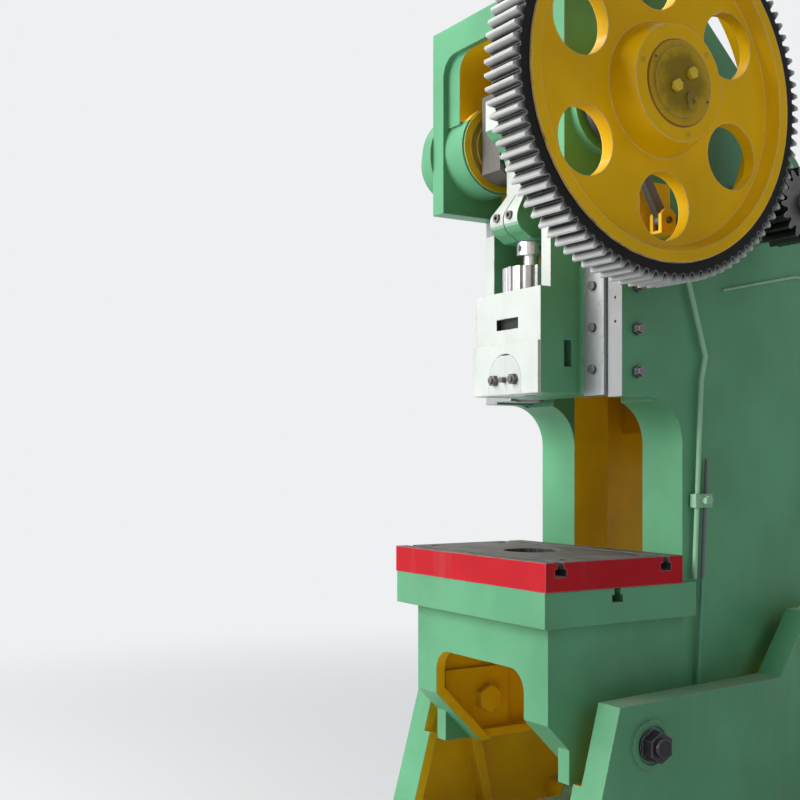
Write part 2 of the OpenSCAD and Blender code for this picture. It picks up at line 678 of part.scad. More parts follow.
// Motor with its foot plate, on the back of the frame.
motor_r = 120;
motor_x0 = -250;
motor_x1 = 130;
module motor_plate() {
    color("mediumseagreen") from_ram() difference() {
        union() {
            block([-side_x, frame_rear, motor_z - 250], [side_x, frame_rear + 16, motor_z + 60]);
            block([motor_x0 + 20, frame_rear + 15, motor_z - 161], [motor_x1, motor_y + 130, motor_z - 145]);
            for (x = [motor_x0 + 20, motor_x1 - 16]) across(x, x + 16) polygon([[frame_rear + 15, motor_z - 246],
                [frame_rear + 40, motor_z - 246], [motor_y + 120, motor_z - 160], [frame_rear + 15, motor_z - 160]]);
        }
        for (x = motor_foot_x, y = motor_foot_y) translate([x, y, motor_z - 162]) cylinder(h = 20, r = 7);
    }
}
motor_foot_x = [motor_x0 + 90, motor_x1 - 110];
motor_foot_y = [motor_y - 95, motor_y + 95];
module motor() {
    color("slategray") from_ram() difference() {
        union() {
            bar_x(motor_x0, motor_x1, motor_y, motor_z, motor_r - 8);
            for (x = [motor_x0 + 34:26:motor_x1 - 60]) bar_x(x, x + 10, motor_y, motor_z, motor_r);
            bar_x(motor_x1 - 2, motor_x1 + 40, motor_y, motor_z, motor_r - 2);
            block([motor_x0 + 60, motor_y - 115, motor_z - 145], [motor_x1 - 80, motor_y + 115, motor_z - 128]);
            block([motor_x0 + 60, motor_y - 80, motor_z - 130], [motor_x1 - 80, motor_y + 80, motor_z - 80]);
            block([motor_x0 + 110, motor_y + 20, motor_z + 60], [motor_x0 + 230, motor_y + 110, motor_z + 140]);
        }
        bar_x(motor_x0 - 1, motor_x0 + 60, motor_y, motor_z, 19 + fit_gap);
        for (x = motor_foot_x, y = motor_foot_y) translate([x, y, motor_z - 150]) cylinder(h = 30, r = 7);
    }
}
module motor_bolts() {
    color("dimgray") from_ram() for (x = motor_foot_x, y = motor_foot_y) translate([x, y, motor_z]) {
        translate([0, 0, -170]) cylinder(h = 44, r = 7);
        translate([0, 0, -128]) cylinder(h = 9, r = 12, $fn = 6);
    }
}
module motor_pulley() {
    x0 = -flywheel_in_x - flywheel_w + 14;
    color("darkgray") from_ram() union() {
        difference() {
            bar_x(x0, x0 + flywheel_w - 28, motor_y, motor_z, pulley_d / 2);
            for (i = [0:groove_count - 1]) groove(x0 + 16 + groove_pitch * i, motor_y, motor_z, pulley_d / 2);
        }
        bar_x(x0 - 6, motor_x0 + 58, motor_y, motor_z, 19);
    }
}
// One V groove, as a ring cut out of a pulley of radius r.
module groove(x, back, up, r) {
    translate([x, back, up]) rotate([0, 90, 0]) rotate_extrude($fn = 96)
        polygon([[r - 11, 3], [r + 1, 0], [r + 1, 14], [r - 11, 11]]);
}

// V-belts: each lies in its grooves and runs straight between the wheels.
module belt_loop(r1, r2) {
    d = norm([motor_y - pinion_y, motor_z - pinion_z]);
    swing = acos((r1 - r2) / d);
    difference() {
        union() {
            circle(r = r1, $fn = 120);
            translate([d, 0]) circle(r = r2, $fn = 64);
            polygon([r1 * [cos(swing), sin(swing)], [d, 0] + r2 * [cos(swing), sin(swing)],
                [d, 0] + r2 * [cos(swing), -sin(swing)], r1 * [cos(swing), -sin(swing)]]);
        }
        circle(r = r1 - belt_t, $fn = 120);
        translate([d, 0]) circle(r = r2 - belt_t, $fn = 64);
        polygon([(r1 - belt_t) * [cos(swing), sin(swing)], [d, 0] + (r2 - belt_t) * [cos(swing), sin(swing)],
            [d, 0] + (r2 - belt_t) * [cos(swing), -sin(swing)], (r1 - belt_t) * [cos(swing), -sin(swing)]]);
    }
}
module v_belts() {
    fall = atan2(motor_z - pinion_z, motor_y - pinion_y);
    color("#222222") from_ram() for (i = [0:groove_count - 1])
        translate([-flywheel_in_x - flywheel_w + 30 + groove_pitch * i + 3.3, pinion_y, pinion_z]) rotate([90, 0, 90])
            rotate(fall) linear_extrude(7.4) belt_loop(flywheel_d / 2 + run_gap, pulley_d / 2 + run_gap);
}

// Band brake round the drum on the crank's left end.
brake_r = 92;
brake_x0 = -420;
brake_w = 60;
module band_ring(r0, r1, x0, w) {
    difference() {
        bar_x(x0, x0 + w, 0, crank_z, r1);
        bar_x(x0 - 1, x0 + w + 1, 0, crank_z, r0);
        across(x0 - 2, x0 + w + 2) translate([60, crank_z - 9]) square([r1, 18]);
    }
}
module brake_band() {
    color("mediumseagreen") from_ram() difference() {
        union() {
            band_ring(brake_r + 8, brake_r + 13, brake_x0, brake_w);
            for (s = [-1, 1]) block([brake_x0, brake_r + 8, crank_z + s * 15 - 6], [brake_x0 + brake_w, brake_r + 60, crank_z + s * 15 + 6]);
        }
        translate([brake_x0 + brake_w / 2, brake_r + 38, crank_z - 30]) cylinder(h = 60, r = 8.5);
    }
}
module brake_lining() {
    color("saddlebrown") from_ram() band_ring(brake_r + run_gap, brake_r + 8, brake_x0 + 2, brake_w - 4);
}
module brake_bolt() {
    color("dimgray") from_ram() union() {
        translate([brake_x0 + brake_w / 2, brake_r + 38, crank_z - 44]) cylinder(h = 110, r = 8);
        translate([brake_x0 + brake_w / 2, brake_r + 38, crank_z - 34]) cylinder(h = 13, r = 15, $fn = 6);
        translate([brake_x0 + brake_w / 2, brake_r + 38, crank_z + 21]) cylinder(h = 30, r = 14);
        translate([brake_x0 + brake_w / 2, brake_r + 38, crank_z + 51]) cylinder(h = 13, r = 15, $fn = 6);
        block([brake_x0 + brake_w / 2 - 10, brake_r + 29, crank_z - 8.5], [-side_x - 50, brake_r + 47, crank_z + 8.5]);
    }
}

// Clutch bracket on the frame's right side, between the frame and the gear.
latch_y = 160;
latch_z = 1880;
latch_arm = 90;
module rod_guide() {
    color("goldenrod") from_ram() difference() {
        union() {
            block([side_x, 296, 540], [side_x + 8, 348, 590]);
            block([side_x + 7, 308, 556], [rod_x + 14, 336, 574]);
        }
        bar_between([rod_x, 364, 1245], [rod_x, 305, 190], pull_d / 2 + 0.6);
    }
}
module clutch_bracket() {
    color("goldenrod") from_ram() difference() {
        union() {
            block([side_x, latch_y - 50, latch_z - 34], [side_x + 16, latch_y + 62, latch_z + 112]);
            for (x = [side_x + 30, side_x + 62]) across(x, x + 12) polygon([[latch_y - 26, latch_z - 36],
                [latch_y + 26, latch_z - 36], [latch_y + 26, latch_z + 16], [latch_y + 12, latch_z + 30],
                [latch_y - 12, latch_z + 30], [latch_y - 26, latch_z + 16]]);
            block([side_x + 15, latch_y - 26, latch_z - 36], [side_x + 74, latch_y + 26, latch_z - 28]);
        }
        bar_x(side_x + 17, side_x + 80, latch_y, latch_z, 9);
    }
}
// Latch lever: a nose towards the cam on the crankshaft, and an arm that the pull rod draws down.
module clutch_latch() {
    color("silver") from_ram() union() {
        bar_x(side_x + 24, side_x + 80, latch_y, latch_z, 9 - fit_gap);
        bar_x(side_x + 43, side_x + 61, latch_y, latch_z, 24);
        across(side_x + 43, side_x + 61) polygon([[latch_y - 22, latch_z + 4], [latch_y + 4, latch_z + 22],
            [62, crank_z - 94], [42, crank_z - 99], [44, crank_z - 118]]);
        across(side_x + 43, side_x + 61) polygon([[latch_y, latch_z - 14], [latch_y + latch_arm, latch_z - 12],
            [latch_y + latch_arm, latch_z + 12], [latch_y, latch_z + 14]]);
        bar_x(side_x + 43, side_x + 61, latch_y + latch_arm, latch_z, 14);
        bar_x(rod_x - 10, side_x + 44, latch_y + latch_arm, latch_z, 6);
    }
}

// Crankshaft, one forging: journals, square-cornered cheeks and the crankpin at top dead centre.
drum_bore = 100;
module crankshaft() {
    color("gray") from_ram() union() {
        bar_x(-brake_x1, -cheek_out, 0, crank_z, gear_bore_d / 2 - fit_gap);
        bar_x(cheek_out, gear_out_x + 8, 0, crank_z, gear_bore_d / 2 - fit_gap);
        both_sides() bar_x(cheek_out - 1, 344, 0, crank_z, journal_d / 2);
        both_sides() across(cheek_in, cheek_out) intersection() {
            translate([0, crank_z + crank_throw / 2]) circle(r = 136);
            translate([-76, crank_z - 130]) square([152, 320]);
        }
        bar_x(-cheek_in - 1, cheek_in + 1, 0, pin_z, pin_d / 2);
    }
}
brake_x1 = 428;
module brake_drum() {
    color("mediumseagreen") from_ram() difference() {
        union() {
            bar_x(brake_x0 - 2, brake_x0 + brake_w + 2, 0, crank_z, brake_r);
            bar_x(brake_x0, -345, 0, crank_z, 58);
        }
        bar_x(brake_x0 - 3, -344, 0, crank_z, 50);
        bar_x(brake_x0 - 3, brake_x0 + 10, 0, crank_z, 78);
        for (a = [0:60:359]) bar_x(brake_x0 - 3, brake_x0 + brake_w + 3, 68 * cos(a), crank_z + 68 * sin(a), 7);
    }
}
// Rotary-key cam ring on the crankshaft, with the notch that the latch catches.
module clutch_cam() {
    color("silver") from_ram() difference() {
        bar_x(348, 372, 0, crank_z, 104);
        bar_x(347, 373, 0, crank_z, 50);
        across(347, 373) translate([40, crank_z - 130]) square([60, 60]);
    }
}

// Connecting rod: a square-shouldered big end that narrows to the clamp of the adjusting screw.
module rod_front_view() {
    polygon([[-rod_clamp_w / 2, rod_lip_z - 1], [rod_clamp_w / 2, rod_lip_z - 1], [rod_clamp_w / 2, rod_clamp_z],
        [rod_w / 2, rod_neck_z], [rod_w / 2, pin_z + 200], [-rod_w / 2, pin_z + 200], [-rod_w / 2, rod_neck_z],
        [-rod_clamp_w / 2, rod_clamp_z]]);
}
// Front edge of the rod seen from the side: clamp lug, sloping shoulder, neck, and the flare into the big end.
rod_edge = concat([[1, pin_z], [1, rod_lip_z], [-50, rod_lip_z]], arc([-58, 1918], 44, 250, 144, 10),
    [[-53, 2000]], arc([-165, 2054], 112, 0, 60, 8), [[-rod_big_r, 2173], [-rod_big_r, pin_z]]);
module rod_side_view() {
    difference() {
        polygon(rod_edge);
        mirror([1, 0]) polygon(rod_edge);
        translate([0, pin_z]) circle(r = pin_d / 2 + fit_gap);
    }
}
rod_bolt_y = 102;
module conrod() {
    color("honeydew") from_ram() difference() {
        intersection() {
            across(-rod_clamp_w / 2, rod_clamp_w / 2) rod_side_view();
            rotate([90, 0, 0]) translate([0, 0, -150]) linear_extrude(300) rod_front_view();
        }
        translate([0, 0, rod_lip_z - 1]) cylinder(h = 190, r = screw_d / 2 + fit_gap);
        block([-2, -140, rod_lip_z - 1], [2, 0, rod_lip_z + 130]);
        for (y = [-rod_bolt_y, rod_bolt_y]) translate([0, y, pin_z - 44]) cylinder(h = 45, r = 10.1);
        for (x = [-29, 29]) bar_y(x, -140, -60, 1927, 12);
    }
}
module conrod_cap() {
    color("honeydew") from_ram() difference() {
        across(-rod_w / 2, rod_w / 2) union() {
            intersection() {
                translate([0, pin_z]) circle(r = rod_cap_r);
                translate([-rod_big_r, pin_z]) square([2 * rod_big_r, rod_big_r]);
            }
            translate([-rod_big_r, pin_z]) square([2 * rod_big_r, rod_cap_h]);
        }
        bar_x(-rod_w / 2 - 1, rod_w / 2 + 1, 0, pin_z, pin_d / 2 + fit_gap);
        for (y = [-rod_bolt_y, rod_bolt_y]) translate([0, y, pin_z - 1]) cylinder(h = 80, r = 10.1);
        for (y = [-rod_bolt_y, rod_bolt_y]) translate([0, y, pin_z + rod_cap_h]) cylinder(h = 80, r = 22);
    }
}
module conrod_bolts() {
    color("dimgray") from_ram() for (y = [-rod_bolt_y, rod_bolt_y]) translate([0, y, pin_z]) {
        translate([0, 0, -42]) cylinder(h = 122, r = 10);
        translate([0, 0, rod_cap_h]) cylinder(h = 18, r = 18, $fn = 6);
    }
}
module clamp_screws() {
    color("dimgray") from_ram() for (x = [-29, 29]) difference() {
        bar_y(x, -108, -61, 1927, 12);
        bar_y(x, -109, -98, 1927, 6);
    }
}
// Adjusting screw: thread, tommy-bar collar, neck and ball.
module adjusting_screw() {
    collar_z = rod_lip_z - collar_h - 1;
    color("silver") from_ram() difference() {
        union() {
            translate([0, 0, collar_z + collar_h - 1]) cylinder(h = 170, r = screw_d / 2);
            translate([0, 0, collar_z]) cylinder(h = collar_h, r = collar_r);
            translate([0, 0, ball_z]) cylinder(h = collar_z - ball_z, r = neck_d / 2);
            translate([0, 0, ball_z]) sphere(r = ball_d / 2);
        }
        for (a = [0:90:359]) rotate(a) bar_y(0, 20, 60, collar_z + collar_h / 2, 9);
    }
}

// Slide: a box with V wings at the back and two posts beside the adjusting screw.
module slide_plan(half) {
    polygon([[-half, -slide_front], [half, -slide_front], [half, guide_front - keeper_t], [wing_x, guide_front - keeper_t],
        [wing_x, vee_y - vee_depth], [wing_x + vee_depth, vee_y], [wing_x, vee_y + vee_depth], [wing_x, slide_rear],
        [-wing_x, slide_rear], [-wing_x, vee_y + vee_depth], [-wing_x - vee_depth, vee_y],
        [-wing_x, vee_y - vee_depth], [-wing_x, guide_front - keeper_t], [-half, guide_front - keeper_t]]);
}
module slide() {
    half = slide_w / 2;
    post_in = half - post_w;
    pocket_r = ball_d / 2 + 1;
    color("mediumseagreen") from_ram() difference() {
        union() {
            translate([0, 0, slide_bottom_z]) linear_extrude(post_top_z - slide_bottom_z) slide_plan(half);
            block([-half, -lower_front, slide_bottom_z], [half, -slide_front + 1, lower_step_z]);
        }
        // space between the posts, for the connecting rod
        block([-half - 1, -slide_front - 1, slide_top_z], [half + 1, -post_front, post_top_z + 1]);
        block([-post_in, -post_front - 1, slide_top_z], [post_in, slide_rear + 1, post_top_z + 1]);
        // socket of the ball, lengthened to the back for the rod's swing
        translate([0, 0, ball_floor_z]) ball_space(pocket_r, slide_top_z - ball_floor_z + 1);
        translate([0, 0, slide_top_z - 40]) translate([0, crank_throw / 2, 0]) cylinder(h = 41, r = 76);
        // die shank hole, and the cross slot above it
        translate([0, 0, slide_bottom_z - 1]) cylinder(h = shank_depth + 1, r = shank_d / 2);
        translate([0, 0, slide_bottom_z + shank_depth]) cylinder(h = 4, r = shank_d / 2 + 2);
        block([-wing_x - 60, knock_slot_y - knock_slot_w / 2, slide_bottom_z + shank_depth],
            [wing_x + 60, knock_slot_y + knock_slot_w / 2, slide_bottom_z + shank_depth + 74]);
        // pocket of the shank clamp
        shank_arch(75, -lower_front - 1, -clamp_split, slide_bottom_z - 1);
        // window in the front face
        block([-50, -slide_front - 1, 1610], [50, -slide_front + 18, 1641]);
    }
}
// A slot-shaped space swept by the ball or the neck, from the axis to one throw behind it.
module ball_space(r, h) {
    cylinder(h = h, r = r);
    translate([0, crank_throw, 0]) cylinder(h = h, r = r);
    translate([-r, 0, 0]) cube([2 * r, crank_throw, h]);
}
// An arch-topped block, standing on height z.
module shank_arch(r, y0, y1, z) {
    translate([0, y1, 0]) rotate([90, 0, 0]) linear_extrude(y1 - y0) {
        translate([0, slide_bottom_z + 40]) circle(r = r);
        translate([-r, z]) square([2 * r, slide_bottom_z + 40 - z]);
    }
}
module shank_clamp() {
    color("honeydew") from_ram() difference() {
        intersection() {
            shank_arch(74.6, -lower_front, -clamp_split - 0.4, slide_bottom_z);
            block([-80, -lower_front, slide_bottom_z], [80, 0, slide_bottom_z + 111]);
        }
        translate([0, 0, slide_bottom_z - 1]) cylinder(h = shank_depth + 1, r = shank_d / 2);
        translate([0, 0, slide_bottom_z + shank_depth]) cylinder(h = 4, r = shank_d / 2 + 2);
        for (x = [-45, 45]) bar_y(x, -lower_front - 1, 0, slide_bottom_z + 42, 9.1);
        bar_y(0, -lower_front - 1, 0, slide_bottom_z + 42, 8.1);
    }
}
module shank_bolts() {
    color("dimgray") from_ram() {
        for (x = [-45, 45]) {
            bar_y(x, -lower_front - 20, -clamp_split, slide_bottom_z + 42, 9);
            hex_y(x, -lower_front - 14, -lower_front, slide_bottom_z + 42, 28);
        }
        bar_y(0, -lower_front - 16, -27, slide_bottom_z + 42, 8);
    }
}
// Fluted nut that holds the ball in the slide.
module ball_cap() {
    color("silver") from_ram() difference() {
        union() {
            translate([0, 0, slide_top_z]) cylinder(h = 71, r = cap_r);
            translate([0, crank_throw / 2, slide_top_z - 10]) cylinder(h = 11, r = 76 - run_gap);
        }
        for (i = [0:15]) rotate(22.5 * i + 11.25) translate([cap_r + 3, 0, slide_top_z - 1]) cylinder(h = 73, r = 9);
        translate([0, 0, slide_top_z - 41]) ball_space(neck_d / 2 + 1, 120);
        translate([0, 0, slide_top_z - 41]) ball_space(ball_d / 2 + 1, ball_z + ball_d / 2 + ball_play - slide_top_z + 42);
    }
}
module ball_seat() {
    color("goldenrod") from_ram() translate([0, 0, ball_floor_z]) ball_space(ball_d / 2 + 0.6, 11);
}

// Large spur gear: toothed rim, dished web with six holes, and hub.
module bull_gear() {
    color("gold") from_ram() translate([0, 0, crank_z]) rotate([90, 0, 90]) union() {
        translate([0, 0, gear_in_x]) linear_extrude(gear_face_w) difference() {
            rotate(-pinion_drop) gear_outline(gear_module, gear_teeth, 0.6);
            circle(r = rim_r - 1, $fn = 180);
        }
        difference() {
            rotate_extrude($fn = 180) polygon([[gear_bore_d / 2 + 16, gear_in_x - 34], [120, gear_in_x - 34], [140, gear_in_x + 40],
                [rim_in_r - 14, gear_in_x + 48], [rim_in_r, gear_in_x - 2], [rim_r, gear_in_x - 2],
                [rim_r, gear_out_x + 6], [rim_r - 28, gear_out_x + 6], [rim_in_r - 14, gear_in_x + 48 + web_t],
                [168, gear_in_x + 48 + web_t], [hub_r, hub_face_x], [108, hub_face_x], [104, hub_face_x - 6],
                [gear_bore_d / 2 + 16, hub_face_x - 6]]);
            for (i = [0:5]) rotate(-27 + 60 * i) translate([web_hole_r, 0, gear_in_x]) cylinder(h = gear_face_w, r = web_hole_d / 2);
        }
    }
}
module gear_bush() {
    color("goldenrod") from_ram() difference() {
        bar_x(gear_in_x - 36, gear_out_x + 6, 0, crank_z, gear_bore_d / 2 + 15.95);
        bar_x(gear_in_x - 37, gear_out_x + 7, 0, crank_z, gear_bore_d / 2);
    }
}
// Cover plate over the end of the crankshaft, screwed to the hub.
hub_bolt_at = [[37.5 * cos(42), 37.5 * sin(42)], [26.4 * cos(209.5), 26.4 * sin(209.5)]];
module hub_cover() {
    color("gold") from_ram() difference() {
        union() {
            bar_x(hub_face_x - 6, hub_face_x + 4, 0, crank_z, 103);
            bar_x(hub_face_x + 3, hub_face_x + 10, 0, crank_z, 86);
            across(hub_face_x + 9, hub_face_x + 16) union() {
                translate([26, crank_z - 34]) circle(r = 15);
                translate([30, crank_z - 52]) circle(r = 15);
                translate([13, crank_z - 52]) square([28, 18]);
            }
        }
        bar_x(hub_face_x + 6, hub_face_x + 30, 0, crank_z, 5);
        bar_x(hub_face_x + 12, hub_face_x + 30, 28, crank_z - 43, 8);
        for (p = [[97, 148], [97, -20]]) bar_x(hub_face_x - 3, hub_face_x + 30, p[0] * cos(p[1]), crank_z + p[0] * sin(p[1]), 4);
        for (p = hub_bolt_at) bar_x(hub_face_x - 7, hub_face_x + 30, p[0], crank_z + p[1], 9.1);
    }
}
module hub_bolts() {
    color("dimgray") from_ram() for (p = hub_bolt_at) {
        bar_x(hub_face_x - 6, hub_face_x + 12, p[0], crank_z + p[1], 9);
        hex_x(hub_face_x + 10, hub_face_x + 21, p[0], crank_z + p[1], 27);
    }
}

// Intermediate shaft with the pinion cut on its right end.
module pinion_shaft() {
    color("#3c3c40") from_ram() translate([0, pinion_y, pinion_z]) rotate([90, 0, 90]) union() {
        translate([0, 0, gear_in_x - 3]) linear_extrude(gear_face_w + 6)
            rotate(180 - pinion_drop + 180 / pinion_teeth) gear_outline(gear_module, pinion_teeth, 0.6);
        translate([0, 0, -flywheel_in_x - flywheel_w - 24]) cylinder(h = flywheel_w + 40, r = 30);
        translate([0, 0, -flywheel_in_x + 14]) cylinder(h = flywheel_in_x + gear_in_x - 14, r = shaft_d / 2);
        translate([0, 0, gear_out_x + 2]) cylinder(h = 22, r = 30);
    }
}
module flywheel() {
    r = flywheel_d / 2;
    x0 = -flywheel_in_x - flywheel_w;
    color("mediumseagreen") from_ram() difference() {
        translate([0, pinion_y, pinion_z]) rotate([90, 0, 90]) rotate_extrude($fn = 128) polygon([[30.05, x0 - 4], [80, x0 - 4],
            [90, x0 + 44], [r - 66, x0 + 44], [r - 56, x0], [r, x0], [r, x0 + flywheel_w], [r - 56, x0 + flywheel_w],
            [r - 66, x0 + 74], [90, x0 + 74], [80, x0 + flywheel_w + 5], [30.05, x0 + flywheel_w + 5]]);
        for (i = [0:groove_count - 1]) groove(x0 + 30 + groove_pitch * i, pinion_y, pinion_z, r);
        for (a = [0:60:359]) bar_x(x0, x0 + flywheel_w, pinion_y + 170 * cos(a), pinion_z + 170 * sin(a), 50);
    }
}
module shaft_nuts() {
    x0 = -flywheel_in_x - flywheel_w;
    color("dimgray") from_ram() difference() {
        hex_x(x0 - 22, x0 - 4, pinion_y, pinion_z, 92);
        bar_x(x0 - 23, x0 - 3, pinion_y, pinion_z, 30.05);
    }
}

// Pull rods from the treadle up to the clutch latch, joined by an adjustable clamp.
rod_top_y = latch_y + latch_arm;
module upper_pull_rod() {
    color("mediumaquamarine") from_ram() difference() {
        union() {
            bar_between([rod_x, rod_top_y, latch_z - 12], bend_a + [0, -0.4, 1.2], pull_d / 2);
            bar_between(bend_a, bend_b, pull_d / 2);
            bar_between(bend_b, [rod_x, 315, 914], pull_d / 2);
            translate(bend_a) sphere(r = pull_d / 2 + 0.4);
            translate(bend_b) sphere(r = pull_d / 2 + 0.4);
            bar_x(rod_x - 6, rod_x + 6, rod_top_y, latch_z, 17);
        }
        for (y = [rod_top_y - 2.4, rod_top_y]) bar_x(rod_x - 8, rod_x + 8, y, latch_z, 6.3);
        block([rod_x - 8, rod_top_y - 2.4, latch_z - 6.3], [rod_x + 8, rod_top_y, latch_z + 6.3]);
    }
}
bend_a = [rod_x, 358, 1532];
bend_b = [rod_x, 342, 1465];
module bar_between(p, q, r) {
    v = q - p;
    translate(p) rotate([-atan2(v[1], v[2]), 0, 0]) cylinder(h = norm(v), r = r);
}
module lower_pull_rod() {
    color("slategray") from_ram() union() {
        bar_between([rod_x, 364, 1245], [rod_x, 305, 190], pull_d / 2 - 1);
        translate([rod_x, 305, 188]) cylinder(h = 14, r = 12, $fn = 6);
    }
}
module rod_clamp() {
    color("mediumaquamarine") from_ram() difference() {
        union() {
            block([rod_x - 11, 310, 1111], [rod_x + 11, 374, 1149]);
            bar_x(rod_x + 10, rod_x + 24, 340, 1130, 9);
            hex_x(rod_x + 22, rod_x + 34, 340, 1130, 24);
        }
        bar_between(bend_b, [rod_x, 315, 914], pull_d / 2 + 0.1);
        bar_between([rod_x, 364, 1245], [rod_x, 305, 190], pull_d / 2 - 0.9);
    }
}

left_leg();
right_leg();
base_front_bar();
base_rear_plate();
tie_bar();
tie_bolts();
pivot_bolts();
pivot_nuts();
treadle();
treadle_shaft();
frame();
bolster();
bolster_screws();
left_gib();
right_gib();
left_keeper();
right_keeper();
keeper_bolts();
gib_screws();
left_bush();
right_bush();
shaft_housings();
housing_bolts();
tilt_clamp_bolts();
tilt_clamp_nuts();
motor_plate();
motor();
motor_bolts();
v_belts();
brake_band();
brake_lining();
brake_bolt();
clutch_bracket();
rod_guide();
crankshaft();
brake_drum();
clutch_cam();
conrod();
conrod_cap();
conrod_bolts();
clamp_screws();
adjusting_screw();
slide();
shank_clamp();
shank_bolts();
ball_cap();
ball_seat();
bull_gear();
gear_bush();
hub_cover();
hub_bolts();
pinion_shaft();
flywheel();
shaft_nuts();
motor_pulley();
clutch_latch();
upper_pull_rod();
lower_pull_rod();
rod_clamp();
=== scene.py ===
"""Looks of an open-back inclinable stamping press with an exposed spur gear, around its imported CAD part."""

from math import cos, pi, radians, sin

import bmesh
import bpy
import numpy as np
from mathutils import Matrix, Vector


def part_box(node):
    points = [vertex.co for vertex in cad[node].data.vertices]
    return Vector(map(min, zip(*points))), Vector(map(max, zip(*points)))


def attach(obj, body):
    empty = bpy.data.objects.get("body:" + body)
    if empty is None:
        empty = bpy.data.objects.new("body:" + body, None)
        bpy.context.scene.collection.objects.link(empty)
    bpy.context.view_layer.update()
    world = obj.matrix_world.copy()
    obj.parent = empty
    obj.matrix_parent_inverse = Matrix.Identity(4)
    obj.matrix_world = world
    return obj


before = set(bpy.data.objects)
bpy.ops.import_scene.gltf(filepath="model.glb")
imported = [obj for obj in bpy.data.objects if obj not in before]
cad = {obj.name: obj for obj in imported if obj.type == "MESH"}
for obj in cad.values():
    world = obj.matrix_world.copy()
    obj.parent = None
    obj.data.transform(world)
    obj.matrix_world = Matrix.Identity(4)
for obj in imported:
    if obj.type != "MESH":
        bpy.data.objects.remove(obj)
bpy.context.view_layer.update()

# Legs of the base
# Two heavy iron castings stand on the floor and carry the whole press. They are brushed with green enamel
# outside and ochre inside, and the enamel chips at the edges where steel is moved past them.


def middle(node, axis):
    """Middle of a CAD node's box along one axis: 0 across the press, 1 to the back, 2 up."""
    low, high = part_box(node)
    return (low[axis] + high[axis]) / 2


RAM_Y = middle("adjusting_screw", 1)
FOOT_BLOCK_T, LEG_WEB_T = 0.010, 0.030
LEG_WEB_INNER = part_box("right_leg")[1][0] - FOOT_BLOCK_T - LEG_WEB_T
GREEN = (0.108, 0.340, 0.178, 1)
OCHRE = (0.86, 0.54, 0.008, 1)
DUST = (0.34, 0.31, 0.25, 1)
PRIMER = (0.16, 0.13, 0.11, 1)
# Pale colour for the edges: rubbed paint, and a painted highlight along them.
RUBBED_PAINT_AND_HIGHLIGHT = (0.75, 0.80, 0.76, 1)


def put(tree, socket, value):
    """Links an output to the socket, or sets the socket's own value."""
    if isinstance(value, bpy.types.NodeSocket):
        tree.links.new(value, socket)
    else:
        socket.default_value = value


def calc(tree, operation, *values, clamp=False):
    """One step of arithmetic on values or sockets."""
    node = tree.nodes.new("ShaderNodeMath")
    node.operation, node.use_clamp = operation, clamp
    for socket, value in zip(node.inputs, values):
        put(tree, socket, value)
    return node.outputs[0]


def vector_calc(tree, operation, first, second):
    """One step of arithmetic on two vectors. A dot product gives a number, the others a vector."""
    node = tree.nodes.new("ShaderNodeVectorMath")
    node.operation = operation
    put(tree, node.inputs[0], first)
    put(tree, node.inputs[1], second)
    return node.outputs["Value" if operation == "DOT_PRODUCT" else "Vector"]


def blend_colours(tree, share, first, second):
    """The first colour where share is 0 and the second where it is 1."""
    node = tree.nodes.new("ShaderNodeMix")
    node.data_type = "RGBA"
    put(tree, node.inputs[0], share)
    put(tree, node.inputs[6], first)
    put(tree, node.inputs[7], second)
    return node.outputs[2]


def shaded(tree, colour, factor):
    """The colour made darker or brighter by a factor."""
    node = tree.nodes.new("ShaderNodeHueSaturation")
    put(tree, node.inputs["Color"], colour)
    put(tree, node.inputs["Value"], factor)
    return node.outputs[0]


def ease(tree, value, low, high, at_low=0.0, at_high=1.0):
    """A smooth step from at_low to at_high while the value goes from low to high."""
    node = tree.nodes.new("ShaderNodeMapRange")
    node.interpolation_type = "SMOOTHSTEP"
    for socket, item in zip(node.inputs, (value, low, high, at_low, at_high)):
        put(tree, socket, item)
    return node.outputs[0]


def place(tree):
    """Object coordinates, the same in every piece because each object sits at the origin."""
    return tree.nodes.new("ShaderNodeTexCoord").outputs["Object"]


def speckle(tree, vector, scale, detail=3.0, roughness=0.55):
    """Fractal noise from 0 to 1."""
    node = tree.nodes.new("ShaderNodeTexNoise")
    put(tree, node.inputs["Vector"], vector)
    for label, value in (("Scale", scale), ("Detail", detail), ("Roughness", roughness)):
        put(tree, node.inputs[label], value)
    return node.outputs[0]


def start_group(name, inputs, outputs):
    """A new shader group with its named sockets, and its two end nodes."""
    tree = bpy.data.node_groups.new(name, "ShaderNodeTree")
    for label, kind, value in inputs:
        socket = tree.interface.new_socket(name=label, in_out="INPUT", socket_type=kind)
        socket.default_value = value
    for label, kind in outputs:
        tree.interface.new_socket(name=label, in_out="OUTPUT", socket_type=kind)
    return tree, tree.nodes.new("NodeGroupInput").outputs, tree.nodes.new("NodeGroupOutput").inputs


def rounded_edges():
    """Group: an edge mask, from how far the surface bends within a few millimetres, and the rounded edges' normal."""
    tree, given, result = start_group(
        "rounded_edges",
        [("Radius", "NodeSocketFloat", 0.004)],
        [("Edge", "NodeSocketFloat"), ("Normal", "NodeSocketVector")],
    )
    bevel = tree.nodes.new("ShaderNodeBevel")
    bevel.samples = 4
    tree.links.new(given["Radius"], bevel.inputs["Radius"])
    flat = tree.nodes.new("ShaderNodeNewGeometry").outputs["True Normal"]
    turn = vector_calc(tree, "DOT_PRODUCT", bevel.outputs[0], flat)
    tree.links.new(ease(tree, turn, 0.995, 0.86), result["Edge"])
    tree.links.new(bevel.outputs[0], result["Normal"])
    return tree


ROUNDED_EDGES = rounded_edges()


def use_group(tree, group, **values):
    """Places a group in a tree, with its inputs given by name."""
    node = tree.nodes.new("ShaderNodeGroup")
    node.node_tree = group
    for label, value in values.items():
        put(tree, node.inputs[label], value)
    return node.outputs


